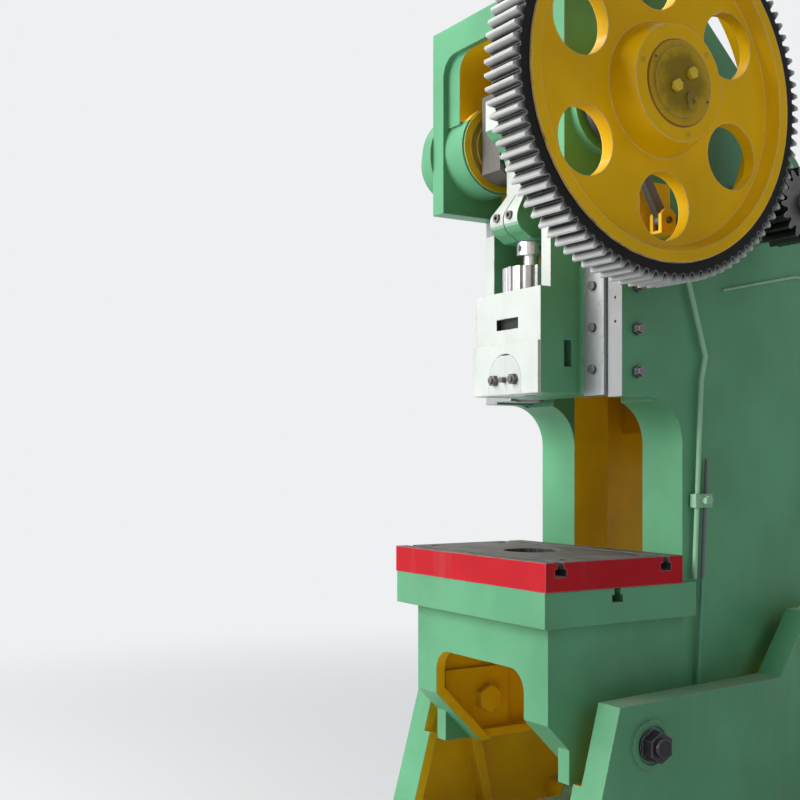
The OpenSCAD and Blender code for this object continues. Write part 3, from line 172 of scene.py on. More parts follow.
SURFACE_OUTPUTS = [
    ("Color", "NodeSocketColor"),
    ("Roughness", "NodeSocketFloat"),
    ("Height", "NodeSocketFloat"),
    ("Normal", "NodeSocketVector"),
]


def brushed_enamel():
    """Group: thick machine enamel with soft mottling, chips at the edges, edges lightened towards a pale colour as
    rubbed paint and as a painted highlight, runs of dirt and dust on what faces up.
    """
    tree, given, result = start_group(
        "brushed_enamel",
        [
            ("Paint", "NodeSocketColor", GREEN),
            ("Dirt", "NodeSocketColor", DUST),
            ("Wear", "NodeSocketFloat", 0.5),
            ("Dust", "NodeSocketFloat", 0.4),
            ("Roughness", "NodeSocketFloat", 0.3),
            ("Rub", "NodeSocketFloat", 0.22),
        ],
        SURFACE_OUTPUTS,
    )
    here = place(tree)
    mottle = speckle(tree, here, 2.6, 4.0)
    grit = speckle(tree, here, 75.0, 2.0)
    lumps = speckle(tree, here, 11.0, 3.0, 0.5)
    tinted = shaded(tree, given["Paint"], ease(tree, mottle, 0.28, 0.72, 0.84, 1.10))
    edges = use_group(tree, ROUNDED_EDGES, Radius=0.0045)
    flaking = ease(tree, speckle(tree, here, 26.0, 5.0, 0.7), 0.56, 0.63)
    chips = calc(tree, "MULTIPLY", edges["Edge"], flaking)
    chips = calc(tree, "MULTIPLY", chips, given["Wear"], clamp=True)
    # Edges are lightened towards the pale colour, partly as rubbed paint and partly as a painted highlight.
    rubbed_and_highlight = calc(tree, "MULTIPLY", edges["Edge"], given["Rub"])
    chipped = blend_colours(tree, chips, blend_colours(tree, rubbed_and_highlight, tinted, RUBBED_PAINT_AND_HIGHLIGHT), PRIMER)
    drawn_down = vector_calc(tree, "MULTIPLY", here, (9.0, 9.0, 0.7))
    runs = ease(tree, speckle(tree, drawn_down, 1.6, 5.0, 0.6), 0.54, 0.74)
    runs = calc(tree, "MULTIPLY", runs, calc(tree, "MULTIPLY", given["Dust"], 0.28))
    streaked = blend_colours(tree, runs, chipped, given["Dirt"])
    up = tree.nodes.new("ShaderNodeSeparateXYZ")
    tree.links.new(tree.nodes.new("ShaderNodeNewGeometry").outputs["Normal"], up.inputs[0])
    lying = ease(tree, up.outputs["Z"], 0.6, 0.98)
    lying = calc(tree, "MULTIPLY", lying, ease(tree, lumps, 0.30, 0.72, 0.35, 1.0))
    dusty = calc(tree, "MULTIPLY", lying, given["Dust"], clamp=True)
    tree.links.new(blend_colours(tree, dusty, streaked, given["Dirt"]), result["Color"])
    rough = calc(tree, "ADD", given["Roughness"], calc(tree, "MULTIPLY", mottle, 0.16))
    dull = calc(tree, "MULTIPLY", calc(tree, "ADD", dusty, chips), 0.35)
    tree.links.new(calc(tree, "ADD", rough, dull, clamp=True), result["Roughness"])
    skin = calc(tree, "ADD", lumps, calc(tree, "MULTIPLY", grit, 0.10))
    tree.links.new(calc(tree, "SUBTRACT", skin, calc(tree, "MULTIPLY", chips, 0.5)), result["Height"])
    tree.links.new(edges["Normal"], result["Normal"])
    return tree


BRUSHED_ENAMEL = brushed_enamel()


def finish_material(tree, outputs, depth, metallic=0.0, specular=0.5):
    """Ends a material: the group's outputs go to one Principled shader, with the height as bump."""
    shader = tree.nodes.new("ShaderNodeBsdfPrincipled")
    tree.links.new(outputs["Color"], shader.inputs["Base Color"])
    tree.links.new(outputs["Roughness"], shader.inputs["Roughness"])
    shader.inputs["Metallic"].default_value = metallic
    shader.inputs["Specular IOR Level"].default_value = specular
    bump = tree.nodes.new("ShaderNodeBump")
    bump.inputs["Distance"].default_value = depth
    tree.links.new(outputs["Height"], bump.inputs["Height"])
    tree.links.new(outputs["Normal"], bump.inputs["Normal"])
    tree.links.new(bump.outputs[0], shader.inputs["Normal"])
    tree.links.new(shader.outputs[0], tree.nodes.new("ShaderNodeOutputMaterial").inputs[0])


def blank_material(name):
    """A material with an empty node tree."""
    material = bpy.data.materials.new(name)
    material.use_nodes = True
    material.node_tree.nodes.clear()
    return material, material.node_tree


def enamel(name, paint, wear=0.5, dust=0.4, roughness=0.3, dirt=DUST, specular=0.22, rub_and_highlight=0.22):
    """A brushed enamel. paint is a colour, or a function that draws the colours in the material's tree."""
    material, tree = blank_material(name)
    colour = paint(tree) if callable(paint) else paint
    outputs = use_group(
        tree, BRUSHED_ENAMEL, Paint=colour, Wear=wear, Dust=dust, Roughness=roughness, Dirt=dirt, Rub=rub_and_highlight
    )
    finish_material(tree, outputs, depth=0.0012, specular=specular)
    return material


def dress(material, *nodes):
    """Gives the material to these CAD nodes."""
    for name in nodes:
        for slot in cad[name].material_slots:
            slot.material = material


def inside_boxes(tree, boxes):
    """1 inside any of the boxes, and 0 outside. A box is given by two corners, from the ram's axis and the floor."""
    here = place(tree)
    total = None
    for low, high in boxes:
        centre = [(a + b) / 2 for a, b in zip(low, high)]
        half = [(b - a) / 2 for a, b in zip(low, high)]
        offset = vector_calc(tree, "SUBTRACT", here, (centre[0], centre[1] + RAM_Y, centre[2]))
        parts = tree.nodes.new("ShaderNodeSeparateXYZ")
        tree.links.new(offset, parts.inputs[0])
        mask = None
        for axis in range(3):
            near = calc(tree, "LESS_THAN", calc(tree, "ABSOLUTE", parts.outputs[axis]), half[axis])
            mask = near if mask is None else calc(tree, "MULTIPLY", mask, near)
        total = mask if total is None else calc(tree, "MAXIMUM", total, mask)
    return total


def behind_lines(tree, lines, margin=0.0012):
    """1 where a place lies more than the margin to the left of every line, and 0 elsewhere. A line runs between two
    (back, up) points, from the ram's axis and the floor, seen from the gear's side."""
    here = place(tree)
    mask = None
    for start, stop in lines:
        run = np.array(stop) - np.array(start)
        normal = np.array([-run[1], run[0]]) / np.hypot(*run)
        reach = vector_calc(tree, "DOT_PRODUCT", here, (0, normal[0], normal[1]))
        offset = normal[0] * (start[0] + RAM_Y) + normal[1] * start[1]
        behind = calc(tree, "GREATER_THAN", reach, offset + margin)
        mask = behind if mask is None else calc(tree, "MULTIPLY", mask, behind)
    return mask


def leg_paint(tree):
    """Green on every outer face, and ochre inside the hollow: on the web, the ribs and the flanges' inner faces."""
    front_foot, front_top = (-0.200, 0.160), (-0.072, 0.622)
    step_foot, step_top = (0.520, 0.640), (0.640, 0.815)
    rear_top, rear_foot = (0.880, 0.815), (0.880, 0.0)
    low_part = behind_lines(tree, [[front_top, front_foot], [step_foot, front_top]])
    high_part = behind_lines(tree, [[step_top, step_foot], [rear_top, step_top], [rear_foot, rear_top]])
    outline = calc(tree, "MAXIMUM", low_part, high_part)
    web = LEG_WEB_INNER + 0.0005
    hollow = inside_boxes(tree, [((-web, -0.199, 0.001), (web, 0.879, 0.814))])
    return blend_colours(tree, calc(tree, "MULTIPLY", outline, hollow), GREEN, OCHRE)


LEG_ENAMEL = enamel("leg_enamel", leg_paint, wear=0.8, dust=0.55)
dress(LEG_ENAMEL, "left_leg", "right_leg")

# Cross members of the base
# A low bar in front and a plate with two holes behind join the feet, and a round tie bar holds the legs at
# their distance. The bar and plate are ochre, the tie bar the pale green of the hand-painted rods.

OCHRE_ENAMEL = enamel("ochre_enamel", OCHRE, wear=0.7, dust=0.6)
PALE_GREEN = (0.30, 0.56, 0.36, 1)
ROD_ENAMEL = enamel("rod_enamel", PALE_GREEN, wear=0.9, dust=0.4, roughness=0.28)
dress(OCHRE_ENAMEL, "base_front_bar", "base_rear_plate")
dress(ROD_ENAMEL, "tie_bar")

STEEL = (0.46, 0.46, 0.45, 1)
STAIN = (0.16, 0.12, 0.08, 1)
RUBBED_STEEL = (0.75, 0.75, 0.74, 1)


def cut_steel():
    """Group: bare steel with the fine lines of its cut along one direction, oil stains and bright edges."""
    tree, given, result = start_group(
        "cut_steel",
        [
            ("Steel", "NodeSocketColor", STEEL),
            ("Stain", "NodeSocketColor", STAIN),
            ("Grain", "NodeSocketVector", (40.0, 400.0, 400.0)),
            ("Stained", "NodeSocketFloat", 0.4),
            ("Roughness", "NodeSocketFloat", 0.28),
        ],
        SURFACE_OUTPUTS,
    )
    here = place(tree)
    lines = speckle(tree, vector_calc(tree, "MULTIPLY", here, given["Grain"]), 1.0, 3.0, 0.6)
    cloud = ease(tree, speckle(tree, here, 7.0, 5.0, 0.6), 0.45, 0.75)
    spots = ease(tree, speckle(tree, here, 38.0, 4.0, 0.65), 0.57, 0.70)
    film = calc(tree, "MULTIPLY", calc(tree, "MAXIMUM", cloud, spots), given["Stained"])
    tinted = shaded(tree, given["Steel"], ease(tree, lines, 0.3, 0.7, 0.86, 1.12))
    edges = use_group(tree, ROUNDED_EDGES, Radius=0.002)
    worn = blend_colours(tree, calc(tree, "MULTIPLY", edges["Edge"], 0.35), tinted, RUBBED_STEEL)
    tree.links.new(blend_colours(tree, film, worn, given["Stain"]), result["Color"])
    rough = calc(tree, "ADD", given["Roughness"], calc(tree, "MULTIPLY", lines, 0.18))
    rough = calc(tree, "ADD", rough, calc(tree, "MULTIPLY", film, 0.2), clamp=True)
    tree.links.new(rough, result["Roughness"])
    tree.links.new(lines, result["Height"])
    tree.links.new(edges["Normal"], result["Normal"])
    return tree


CUT_STEEL = cut_steel()
ALONG_X, ALONG_Z, ALL_ROUND = (12.0, 420.0, 420.0), (420.0, 420.0, 12.0), (160.0, 160.0, 160.0)
BLACKENED = (0.13, 0.13, 0.135, 1)


def bare_steel(name, steel=STEEL, grain=ALONG_X, stained=0.35, roughness=0.28, stain=STAIN, metallic=0.9):
    """A machined or blackened steel. The grain is the noise's cells per metre along X, Y and Z."""
    material, tree = blank_material(name)
    outputs = use_group(
        tree, CUT_STEEL, Steel=steel, Grain=grain, Stained=stained, Roughness=roughness, Stain=stain
    )
    finish_material(tree, outputs, depth=0.00025, metallic=metallic)
    return material


FASTENER_STEEL = bare_steel("fastener_steel", BLACKENED, ALL_ROUND, stained=0.5, roughness=0.36)
dress(FASTENER_STEEL, "tie_bolts")

# Treadle
# Two flat arms turn on a ground shaft at the back. A bar joins them at the front and carries a pedal of chequer
# plate, which a coil spring round the shaft lifts again.

dress(ROD_ENAMEL, "treadle")
GROUND_STEEL = bare_steel("ground_steel", grain=ALONG_X, stained=0.25, roughness=0.22)
dress(GROUND_STEEL, "treadle_shaft")


def grid_mesh(name, points, closed=False):
    """A mesh over a grid of points (rows, columns, 3). Closed joins the last column to the first."""
    rows, columns = points.shape[:2]
    row = np.arange(rows - 1)[:, None] * columns
    column = np.arange(columns if closed else columns - 1)[None, :]
    following = (column + 1) % columns
    quads = np.stack([row + column, row + columns + column, row + columns + following, row + following], -1)
    mesh = bpy.data.meshes.new(name)
    mesh.from_pydata(points.reshape(-1, 3).tolist(), [], quads.reshape(-1, 4).tolist())
    return mesh


def add_piece(name, meshes, material, body):
    """Joins meshes into one smooth object, merges its seams, turns its faces outwards, and rides it on a body."""
    whole = bmesh.new()
    for mesh in meshes:
        whole.from_mesh(mesh)
    bmesh.ops.remove_doubles(whole, verts=whole.verts, dist=1e-6)
    bmesh.ops.dissolve_degenerate(whole, edges=whole.edges, dist=1e-7)
    bmesh.ops.recalc_face_normals(whole, faces=whole.faces)
    joined = bpy.data.meshes.new(name)
    whole.to_mesh(joined)
    whole.free()
    joined.polygons.foreach_set("use_smooth", [True] * len(joined.polygons))
    piece = bpy.data.objects.new(name, joined)
    bpy.context.scene.collection.objects.link(piece)
    joined.materials.append(material)
    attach(piece, body)


def across(axis):
    """Two directions at right angles to a unit axis and to each other, by cross products with a fixed one."""
    side = np.cross(axis, (0.0, 0.0, 1.0) if abs(axis[2]) < 0.9 else (1.0, 0.0, 0.0))
    side /= np.linalg.norm(side)
    return side, np.cross(axis, side)


def coil_path(start, stop, radius, turns, steps=28):
    """A helix about the line from start to stop: the angle grows evenly with the distance along the line."""
    start, stop = np.array(start, float), np.array(stop, float)
    side, up = across((stop - start) / np.linalg.norm(stop - start))
    t = np.linspace(0, 1, int(turns * steps) + 1)[:, None]
    angle = 2 * pi * turns * t
    return start + (stop - start) * t + radius * (np.cos(angle) * side + np.sin(angle) * up)


def swept(name, path, radius, sides=10, reference=(1.0, 0.0, 0.0)):
    """A round tube along a path: at each point a circle at right angles to the path, closed by a point at both ends.
    The circle starts at the cross product of the path's direction and the reference direction."""
    run = np.gradient(path, axis=0)
    run /= np.linalg.norm(run, axis=1, keepdims=True)
    side = np.cross(run, reference)
    side /= np.linalg.norm(side, axis=1, keepdims=True)
    up = np.cross(run, side)
    angle = np.linspace(0, 2 * pi, sides, endpoint=False)[None, :, None]
    ring = np.cos(angle) * side[:, None, :] + np.sin(angle) * up[:, None, :]
    tube = path[:, None, :] + radius * ring
    ends = [np.repeat(path[k][None, None, :], sides, axis=1) for k in (0, -1)]
    return grid_mesh(name, np.concatenate([ends[0], tube, ends[1]]), closed=True)


def turned(name, origin, axis, profile, sides=32):
    """A turned part: profile points (distance along the axis, radius) carried round it. Radius 0 closes an end."""
    origin, axis, profile = np.array(origin, float), np.array(axis, float), np.array(profile, float)
    side, up = across(axis)
    angle = np.linspace(0, 2 * pi, sides, endpoint=False)
    ring = np.cos(angle)[:, None] * side + np.sin(angle)[:, None] * up
    points = origin + profile[:, 0, None, None] * axis + profile[:, 1, None, None] * ring[None]
    return grid_mesh(name, points, closed=True)


def chequer_ribs(low, high, top, rib_length=0.020, rib_width=0.006, rib_height=0.0016, pitch=0.021, sunk=0.0003):
    """Raised lens-shaped ribs on a plate, every second one turned by a right angle. With u along and v across, both
    from -1 to 1, a rib's width follows 1 minus u squared, and its height that times 1 minus v squared. Its rim
    is sunk in the plate."""
    ribs = []
    u, v = np.meshgrid(np.linspace(-1, 1, 7), np.linspace(-1, 1, 5), indexing="ij")
    count_x, count_y = int((high[0] - low[0]) / pitch), int((high[1] - low[1]) / pitch)
    for column in range(count_x):
        for row in range(count_y):
            turn = radians(45 if (column + row) % 2 else -45)
            centre_x = low[0] + (column + 0.5) * (high[0] - low[0]) / count_x
            centre_y = low[1] + (row + 0.5) * (high[1] - low[1]) / count_y
            lengthwise, crosswise = u * rib_length / 2, rib_width / 2 * (1 - u**2) * v
            x = centre_x + lengthwise * cos(turn) - crosswise * sin(turn)
            y = centre_y + lengthwise * sin(turn) + crosswise * cos(turn)
            z = top - sunk + rib_height * (1 - u**2) * (1 - v**2)
            ribs.append(grid_mesh("rib", np.stack([x, y, z], -1)))
    return ribs


PEDAL_LEFT, PEDAL_RIGHT, PEDAL_TOP = -0.268, -0.094, 0.170
pedal_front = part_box("treadle")[0][1]
ribs = chequer_ribs((PEDAL_LEFT, pedal_front + 0.004), (PEDAL_RIGHT, pedal_front + 0.110), PEDAL_TOP)
add_piece("pedal_chequer", ribs, ROD_ENAMEL, "treadle")
SHAFT_Y, SHAFT_Z, SHAFT_R = middle("treadle_shaft", 1), middle("treadle_shaft", 2), 0.015
COIL_LEFT, COIL_RIGHT, COIL_R = (-0.262, SHAFT_Y, SHAFT_Z), (-0.214, SHAFT_Y, SHAFT_Z), SHAFT_R + 0.0035
coil = swept("coil", coil_path(COIL_LEFT, COIL_RIGHT, COIL_R, turns=7), radius=0.0026)
add_piece("treadle_spring", [coil], FASTENER_STEEL, "base")

# Tilt pivots and tilt clamps
# The frame hangs on two thick bolts through the legs. Their nuts and rings are oiled black steel, and the
# hexagon heads inside the frame were painted over with the ochre.

NUT_STEEL = bare_steel("nut_steel", (0.035, 0.028, 0.040, 1), ALL_ROUND, stained=0.3, roughness=0.30, metallic=0.6)
SIDE_IN, SIDE_OUT = 0.276, 0.306


def coordinate(tree, axis):
    """One object coordinate: X across the press, Y to the back or Z up."""
    parts = tree.nodes.new("ShaderNodeSeparateXYZ")
    tree.links.new(place(tree), parts.inputs[0])
    return parts.outputs[axis]


def bolt_paint(tree):
    """Ochre on the head inside the frame, and bare dark steel outside."""
    outside = calc(tree, "GREATER_THAN", calc(tree, "ABSOLUTE", coordinate(tree, "X")), SIDE_OUT - 0.006)
    return blend_colours(tree, outside, OCHRE, (0.035, 0.030, 0.040, 1))


dress(enamel("pivot_bolt_mix", bolt_paint, wear=0.5, dust=0.4), "pivot_bolts")
dress(NUT_STEEL, "pivot_nuts", "tilt_clamp_nuts")
dress(FASTENER_STEEL, "tilt_clamp_bolts")


def thread_ridge(origin, axis, length, radius, pitch=0.004, depth=0.0009, sides=24):
    """An external thread: the radius rises and falls by the depth once for each turn, along a helix about the axis,
    and the ridge grows from nothing over the first and last pitch."""
    rows = int(length / pitch * 8) + 1
    turns = np.linspace(0, 2 * pi, sides, endpoint=False)
    height, angle = np.meshgrid(np.linspace(0, length, rows), turns, indexing="ij")
    wave = np.abs(((height / pitch - angle / (2 * pi)) % 1.0) - 0.5) * 2
    fade = np.clip(np.minimum(height, length - height) / pitch, 0, 1)
    ridge_r = (radius + depth * wave * fade)[..., None]
    axis = np.array(axis, float)
    side, up = across(axis)
    ring = np.cos(angle)[..., None] * side + np.sin(angle)[..., None] * up
    return grid_mesh("thread", np.array(origin, float) + height[..., None] * axis + ridge_r * ring, closed=True)


def bolt_thread(sign, nut, bolt, y, z, radius):
    """The thread of a bolt that lies across the press, from its nut's outer face to 1 mm before its end."""
    start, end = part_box(nut)[1][0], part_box(bolt)[1][0]
    return thread_ridge((sign * start, y, z), (sign, 0, 0), end - start - 0.001, radius)


PIVOT_Y, PIVOT_Z, PIVOT_R = RAM_Y + 0.030, 0.517, 0.0240
CLAMP_Y, CLAMP_Z, CLAMP_R = RAM_Y + 0.700, 0.700, 0.0150
for side, sign in (("right", 1), ("left", -1)):
    ridge = bolt_thread(sign, "pivot_nuts", "pivot_bolts", PIVOT_Y, PIVOT_Z, PIVOT_R)
    add_piece(f"{side}_pivot_thread", [ridge], NUT_STEEL, "base")
    ridge = bolt_thread(sign, "tilt_clamp_nuts", "tilt_clamp_bolts", CLAMP_Y, CLAMP_Z, CLAMP_R)
    add_piece(f"{side}_clamp_thread", [ridge], FASTENER_STEEL, "frame")

# Frame
# One large casting, green outside and ochre in every hollow, with its guide faces planed bright. The shaft's
# housings, the motor's plate and the brake's band and drum are painted the same green.

BRIGHT = (0.33, 0.335, 0.35, 1)


def frame_paint(tree):
    """Ochre in the hollows between the side plates, bare on the planed guide faces, and green on everything else."""
    wall = SIDE_IN + 0.0006
    throat = ((-0.1506, 0.2856, 0.9106), (0.1506, 0.4236, 1.9775))
    rear_bay = [
        ((-wall, 0.4225, 0.400), (wall, 0.8295, 2.200)),
        ((-wall, 0.3294, 2.1980), (wall, 0.8295, 2.5214)),
    ]
    under_table = [
        ((-wall, -0.1592, 0.5600), (wall, 0.2556, 0.8186)),
        ((-wall, -0.1190, 0.4025), (wall, 0.2556, 0.5610)),
        ((-0.2626, -0.1892, 0.4025), (0.2626, -0.1180, 0.5610)),
    ]
    apron_window = ((-0.2076, -0.1892, 0.4025), (0.2076, -0.1500, 0.6906))
    head = [
        ((-0.2516, -0.1160, 2.2400), (0.2516, 0.3006, 2.4386)),
        ((-0.2516, 0.0800, 1.9785), (0.2516, 0.3006, 2.4386)),
    ]
    boss_faces = ((-0.1572, -0.1310, 2.0310), (0.1572, 0.1310, 2.2930))
    hollows = inside_boxes(tree, [throat, *rear_bay, *under_table, apron_window, *head, boss_faces])
    above_chamfer = behind_lines(tree, [[(-0.190, 0.562), (-0.030, 0.402)]])
    painted = blend_colours(tree, calc(tree, "MULTIPLY", hollows, above_chamfer), GREEN, OCHRE)
    right_planed = ((0.2475, 0.0590, 1.4135), (0.3065, 0.0635, 1.9775))
    left_planed = ((-0.3065, 0.0590, 1.4135), (-0.2475, 0.0635, 1.9775))
    return blend_colours(tree, inside_boxes(tree, [right_planed, left_planed]), painted, BRIGHT)


FRAME_ENAMEL = enamel("frame_enamel", frame_paint, wear=0.45, dust=0.35, roughness=0.26)
dress(FRAME_ENAMEL, "frame")
GREEN_ENAMEL = enamel("green_enamel", GREEN, wear=0.6, dust=0.4)
dress(GREEN_ENAMEL, "shaft_housings", "motor_plate", "brake_band", "brake_drum")
dress(OCHRE_ENAMEL, "clutch_bracket", "rod_guide")
dress(FASTENER_STEEL, "housing_bolts", "motor_bolts", "brake_bolt")

# Bolster
# A loose steel plate on the table, planed on top and in its two T-slots, with its sides painted red so that
# hands keep away. The top is scratched by dies that slide over it.

RED = (0.45, 0.012, 0.020, 1)
SCRATCHED_DARK, SCRATCHED_BRIGHT = (0.035, 0.035, 0.035, 1), (0.105, 0.105, 0.103, 1)


def bolster_paint(tree):
    """Red on the sides, and steel on the top and in the slots."""
    low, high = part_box("bolster")
    skin = 0.0006
    on_top = calc(tree, "GREATER_THAN", coordinate(tree, "Z"), high[2] - skin)
    half_x, half_y = (high[0] - low[0]) / 2 - skin, (high[1] - low[1]) / 2 - skin
    within_width = calc(tree, "LESS_THAN", calc(tree, "ABSOLUTE", coordinate(tree, "X")), half_x)
    from_ram = calc(tree, "ABSOLUTE", calc(tree, "SUBTRACT", coordinate(tree, "Y"), RAM_Y))
    within_depth = calc(tree, "LESS_THAN", from_ram, half_y)
    bare = calc(tree, "MAXIMUM", on_top, calc(tree, "MULTIPLY", within_width, within_depth))
    overspray = ease(tree, speckle(tree, place(tree), 16.0, 5.0, 0.7), 0.60, 0.66)
    bare = calc(tree, "MULTIPLY", bare, calc(tree, "SUBTRACT", 1.0, calc(tree, "MULTIPLY", overspray, 0.25)))
    drawn_out = vector_calc(tree, "MULTIPLY", place(tree), (9.0, 300.0, 1.0))
    scratches = ease(tree, speckle(tree, drawn_out, 1.0, 4.0, 0.7), 0.40, 0.66)
    steel = blend_colours(tree, scratches, SCRATCHED_DARK, SCRATCHED_BRIGHT)
    return blend_colours(tree, bare, RED, steel)


BOLSTER_ENAMEL = enamel("bolster_enamel", bolster_paint, wear=0.9, dust=0.25, roughness=0.50, specular=0.10)
dress(BOLSTER_ENAMEL, "bolster")
dress(FASTENER_STEEL, "bolster_screws")

# Guides
# The V-grooved gibs are scraped cast iron and their cover strips are ground steel. Black screws hold the
# strips, and the right gib is set by hexagon screws through the frame.

GIB_STEEL = bare_steel("gib_steel", (0.40, 0.40, 0.41, 1), ALONG_Z, stained=0.45, roughness=0.30)
STRIP_STEEL = bare_steel("strip_steel", (0.36, 0.37, 0.39, 1), ALONG_Z, stained=0.30, roughness=0.34)
dress(GIB_STEEL, "left_gib", "right_gib")
dress(STRIP_STEEL, "left_keeper", "right_keeper")
dress(FASTENER_STEEL, "keeper_bolts", "gib_screws")

# Crank bearings
# Flanged bronze bushes sit in the head's bosses, yellow with grease. A grease nipple feeds each one.

TARNISH = (0.10, 0.06, 0.02, 1)
BRONZE = bare_steel("bronze", (0.50, 0.31, 0.07, 1), ALL_ROUND, stained=0.35, roughness=0.30, stain=TARNISH)
GREASED, OLD_GREASE = (0.36, 0.245, 0.014, 1), (0.06, 0.05, 0.01, 1)
GREASED_BUSH = enamel("greased_bush", GREASED, wear=0.5, dust=0.5, roughness=0.2, dirt=OLD_GREASE)
dress(BRONZE, "gear_bush", "ball_seat")
dress(GREASED_BUSH, "left_bush", "right_bush")
CRANK_Z = middle("bull_gear", 2)
NIPPLE = [
    (-0.002, 0.0),
    (-0.002, 0.007),
    (0.006, 0.007),
    (0.006, 0.0045),
    (0.013, 0.004),
    (0.015, 0.0055),
    (0.019, 0.0035),
    (0.021, 0.0),
]
for side, nipple_x, boss_r in (("left", -0.328, 0.147), ("right", 0.318, 0.118)):
    nipple = turned("nipple", (nipple_x, RAM_Y, CRANK_Z + boss_r), (0, 0, 1), NIPPLE, sides=20)
    add_piece(f"{side}_grease_nipple", [nipple], BRONZE, "frame")

# Crankshaft, brake drum and cam ring
# The crankshaft is one forging with ground journals. The drum and cam ring sit on its ends, and a lined
# band round the drum holds the slide at the top, pulled tight by a coil spring.

FORGED_STEEL = bare_steel("forged_steel", (0.13, 0.13, 0.125, 1), ALL_ROUND, stained=0.45, roughness=0.32)
LINING = enamel("brake_lining_mix", (0.13, 0.085, 0.055, 1), wear=0.1, dust=0.3, roughness=0.6)
dress(FORGED_STEEL, "crankshaft", "clutch_cam")
dress(LINING, "brake_lining")
band_low, band_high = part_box("brake_band")
SPRING_X, SPRING_Y = middle("brake_band", 0), RAM_Y + 0.130
BAND_R = RAM_Y - band_low[1]
spring_foot, spring_top = (SPRING_X, SPRING_Y, CRANK_Z + 0.0225), (SPRING_X, SPRING_Y, CRANK_Z + 0.0495)
coil_line = coil_path(spring_foot, spring_top, radius=0.0155, turns=4.5)
coil = swept("coil", coil_line, radius=0.0024, reference=(0, 0, 1))
add_piece("brake_spring", [coil], NUT_STEEL, "frame")
RIVET = [(-0.002, 0.0), (-0.002, 0.006), (0.0, 0.006), (0.0022, 0.0045), (0.003, 0.0)]
rivets = []
for degrees in np.linspace(30, 330, 14):
    outward = (0.0, cos(radians(degrees)), sin(radians(degrees)))
    for x in (band_low[0] + 0.015, band_high[0] - 0.015):
        foot = (x, RAM_Y + BAND_R * outward[1], CRANK_Z + BAND_R * outward[2])
        rivets.append(turned("rivet", foot, outward, RIVET, sides=14))
add_piece("lining_rivets", rivets, BRONZE, "frame")

# Connecting rod and adjusting screw
# A green-painted forging with its cap bolted on. The screw under it is polished, and is turned by a bar
# through its collar to set the shut height.

# Off-white: the slide's real front paint, and a painted glare on the connecting rod's front faces.
WHITE_AND_GLARE = (0.56, 0.60, 0.57, 1)


def rod_paint_and_glare(tree):
    """Green on the sides and the underside, and off-white where the forging faces the front and up, as a painted
    glare of the light on the green enamel.
    """
    outward = tree.nodes.new("ShaderNodeTexCoord").outputs["Normal"]
    # How squarely a face turns towards the light in front and above, which sets the painted glare.
    glare_facing = vector_calc(tree, "DOT_PRODUCT", outward, (0, -0.94, 0.34))
    return blend_colours(tree, ease(tree, glare_facing, 0.70, 0.80), GREEN, WHITE_AND_GLARE)


ROD_BODY_AND_GLARE = enamel("rod_body_and_glare", rod_paint_and_glare, wear=0.8, dust=0.3, roughness=0.28)
POLISHED = bare_steel("polished_steel", (0.62, 0.62, 0.62, 1), (300.0, 300.0, 900.0), stained=0.18, roughness=0.12)
dress(ROD_BODY_AND_GLARE, "conrod", "conrod_cap")
dress(FASTENER_STEEL, "conrod_bolts", "clamp_screws")
dress(POLISHED, "adjusting_screw")

# Slide
# A long casting with scraped wings, green on its sides and filled and painted off-white in front, where
# grease from the screw runs down. The shank clamp below is milled steel under a thin coat.

OILY_DUST = (0.16, 0.14, 0.10, 1)


def slide_paint(tree):
    """Off-white on the front faces, bare on the wings, green on the sides, and near-black as painted shade in the
    front recess.
    """
    front_plate = ((-0.160, -0.120, 1.400), (0.160, -0.0868, 1.722))
    posts = ((-0.160, -0.060, 1.716), (0.160, -0.0520, 1.900))
    left_wing = ((-0.215, 0.0515, 1.400), (-0.1488, 0.1790, 1.900))
    right_wing = ((0.1488, 0.0515, 1.400), (0.215, 0.1790, 1.900))
    shaded_recess = ((-0.0506, -0.0872, 1.6095), (0.0506, -0.0690, 1.6415))
    painted = blend_colours(tree, inside_boxes(tree, [front_plate, posts]), GREEN, WHITE_AND_GLARE)
    # The front recess is filled with near-black as painted shade.
    painted = blend_colours(tree, inside_boxes(tree, [shaded_recess]), painted, (0.03, 0.035, 0.03, 1))
    return blend_colours(tree, inside_boxes(tree, [left_wing, right_wing]), painted, (0.40, 0.40, 0.40, 1))


SLIDE_ENAMEL = enamel("slide_enamel", slide_paint, wear=0.9, dust=0.5, roughness=0.25, dirt=OILY_DUST)
CLAMP_PAINT = (0.52, 0.56, 0.53, 1)
CLAMP_ENAMEL = enamel("clamp_enamel", CLAMP_PAINT, wear=1.0, dust=0.5, roughness=0.22, dirt=OILY_DUST)
dress(SLIDE_ENAMEL, "slide")
dress(CLAMP_ENAMEL, "shank_clamp")
dress(FASTENER_STEEL, "shank_bolts")
dress(GIB_STEEL, "ball_cap")

# Large gear
# A cast gear with milled teeth. Web, rim and hub are bright yellow enamel, a black ring of grease lies round
# the root of the teeth, and their tips and flanks are rubbed bright.

GEAR_YELLOW = (0.82, 0.475, 0.002, 1)
GREASE = (0.004, 0.004, 0.004, 1)
GREASED_ROOT, RUBBED_TIP = (0.055, 0.055, 0.055, 1), (0.50, 0.51, 0.50, 1)
RIM_R, ROOT_R, TIP_R = 0.4300, 0.4575, 0.480


def distance_from_axis(tree, y, z):
    """Distance from an axis across the press: the root of the sum of the squares of what lies back and up from it."""
    back = calc(tree, "SUBTRACT", coordinate(tree, "Y"), y)
    up = calc(tree, "SUBTRACT", coordinate(tree, "Z"), z)
    return calc(tree, "SQRT", calc(tree, "ADD", calc(tree, "MULTIPLY", back, back), calc(tree, "MULTIPLY", up, up)))


def waver(tree, scale, detail, roughness, width):
    """A length that wavers about nothing by up to half the width, to make the edge of a stain uneven."""
    noise = speckle(tree, place(tree), scale, detail, roughness)
    return calc(tree, "MULTIPLY", calc(tree, "SUBTRACT", noise, 0.5), width)


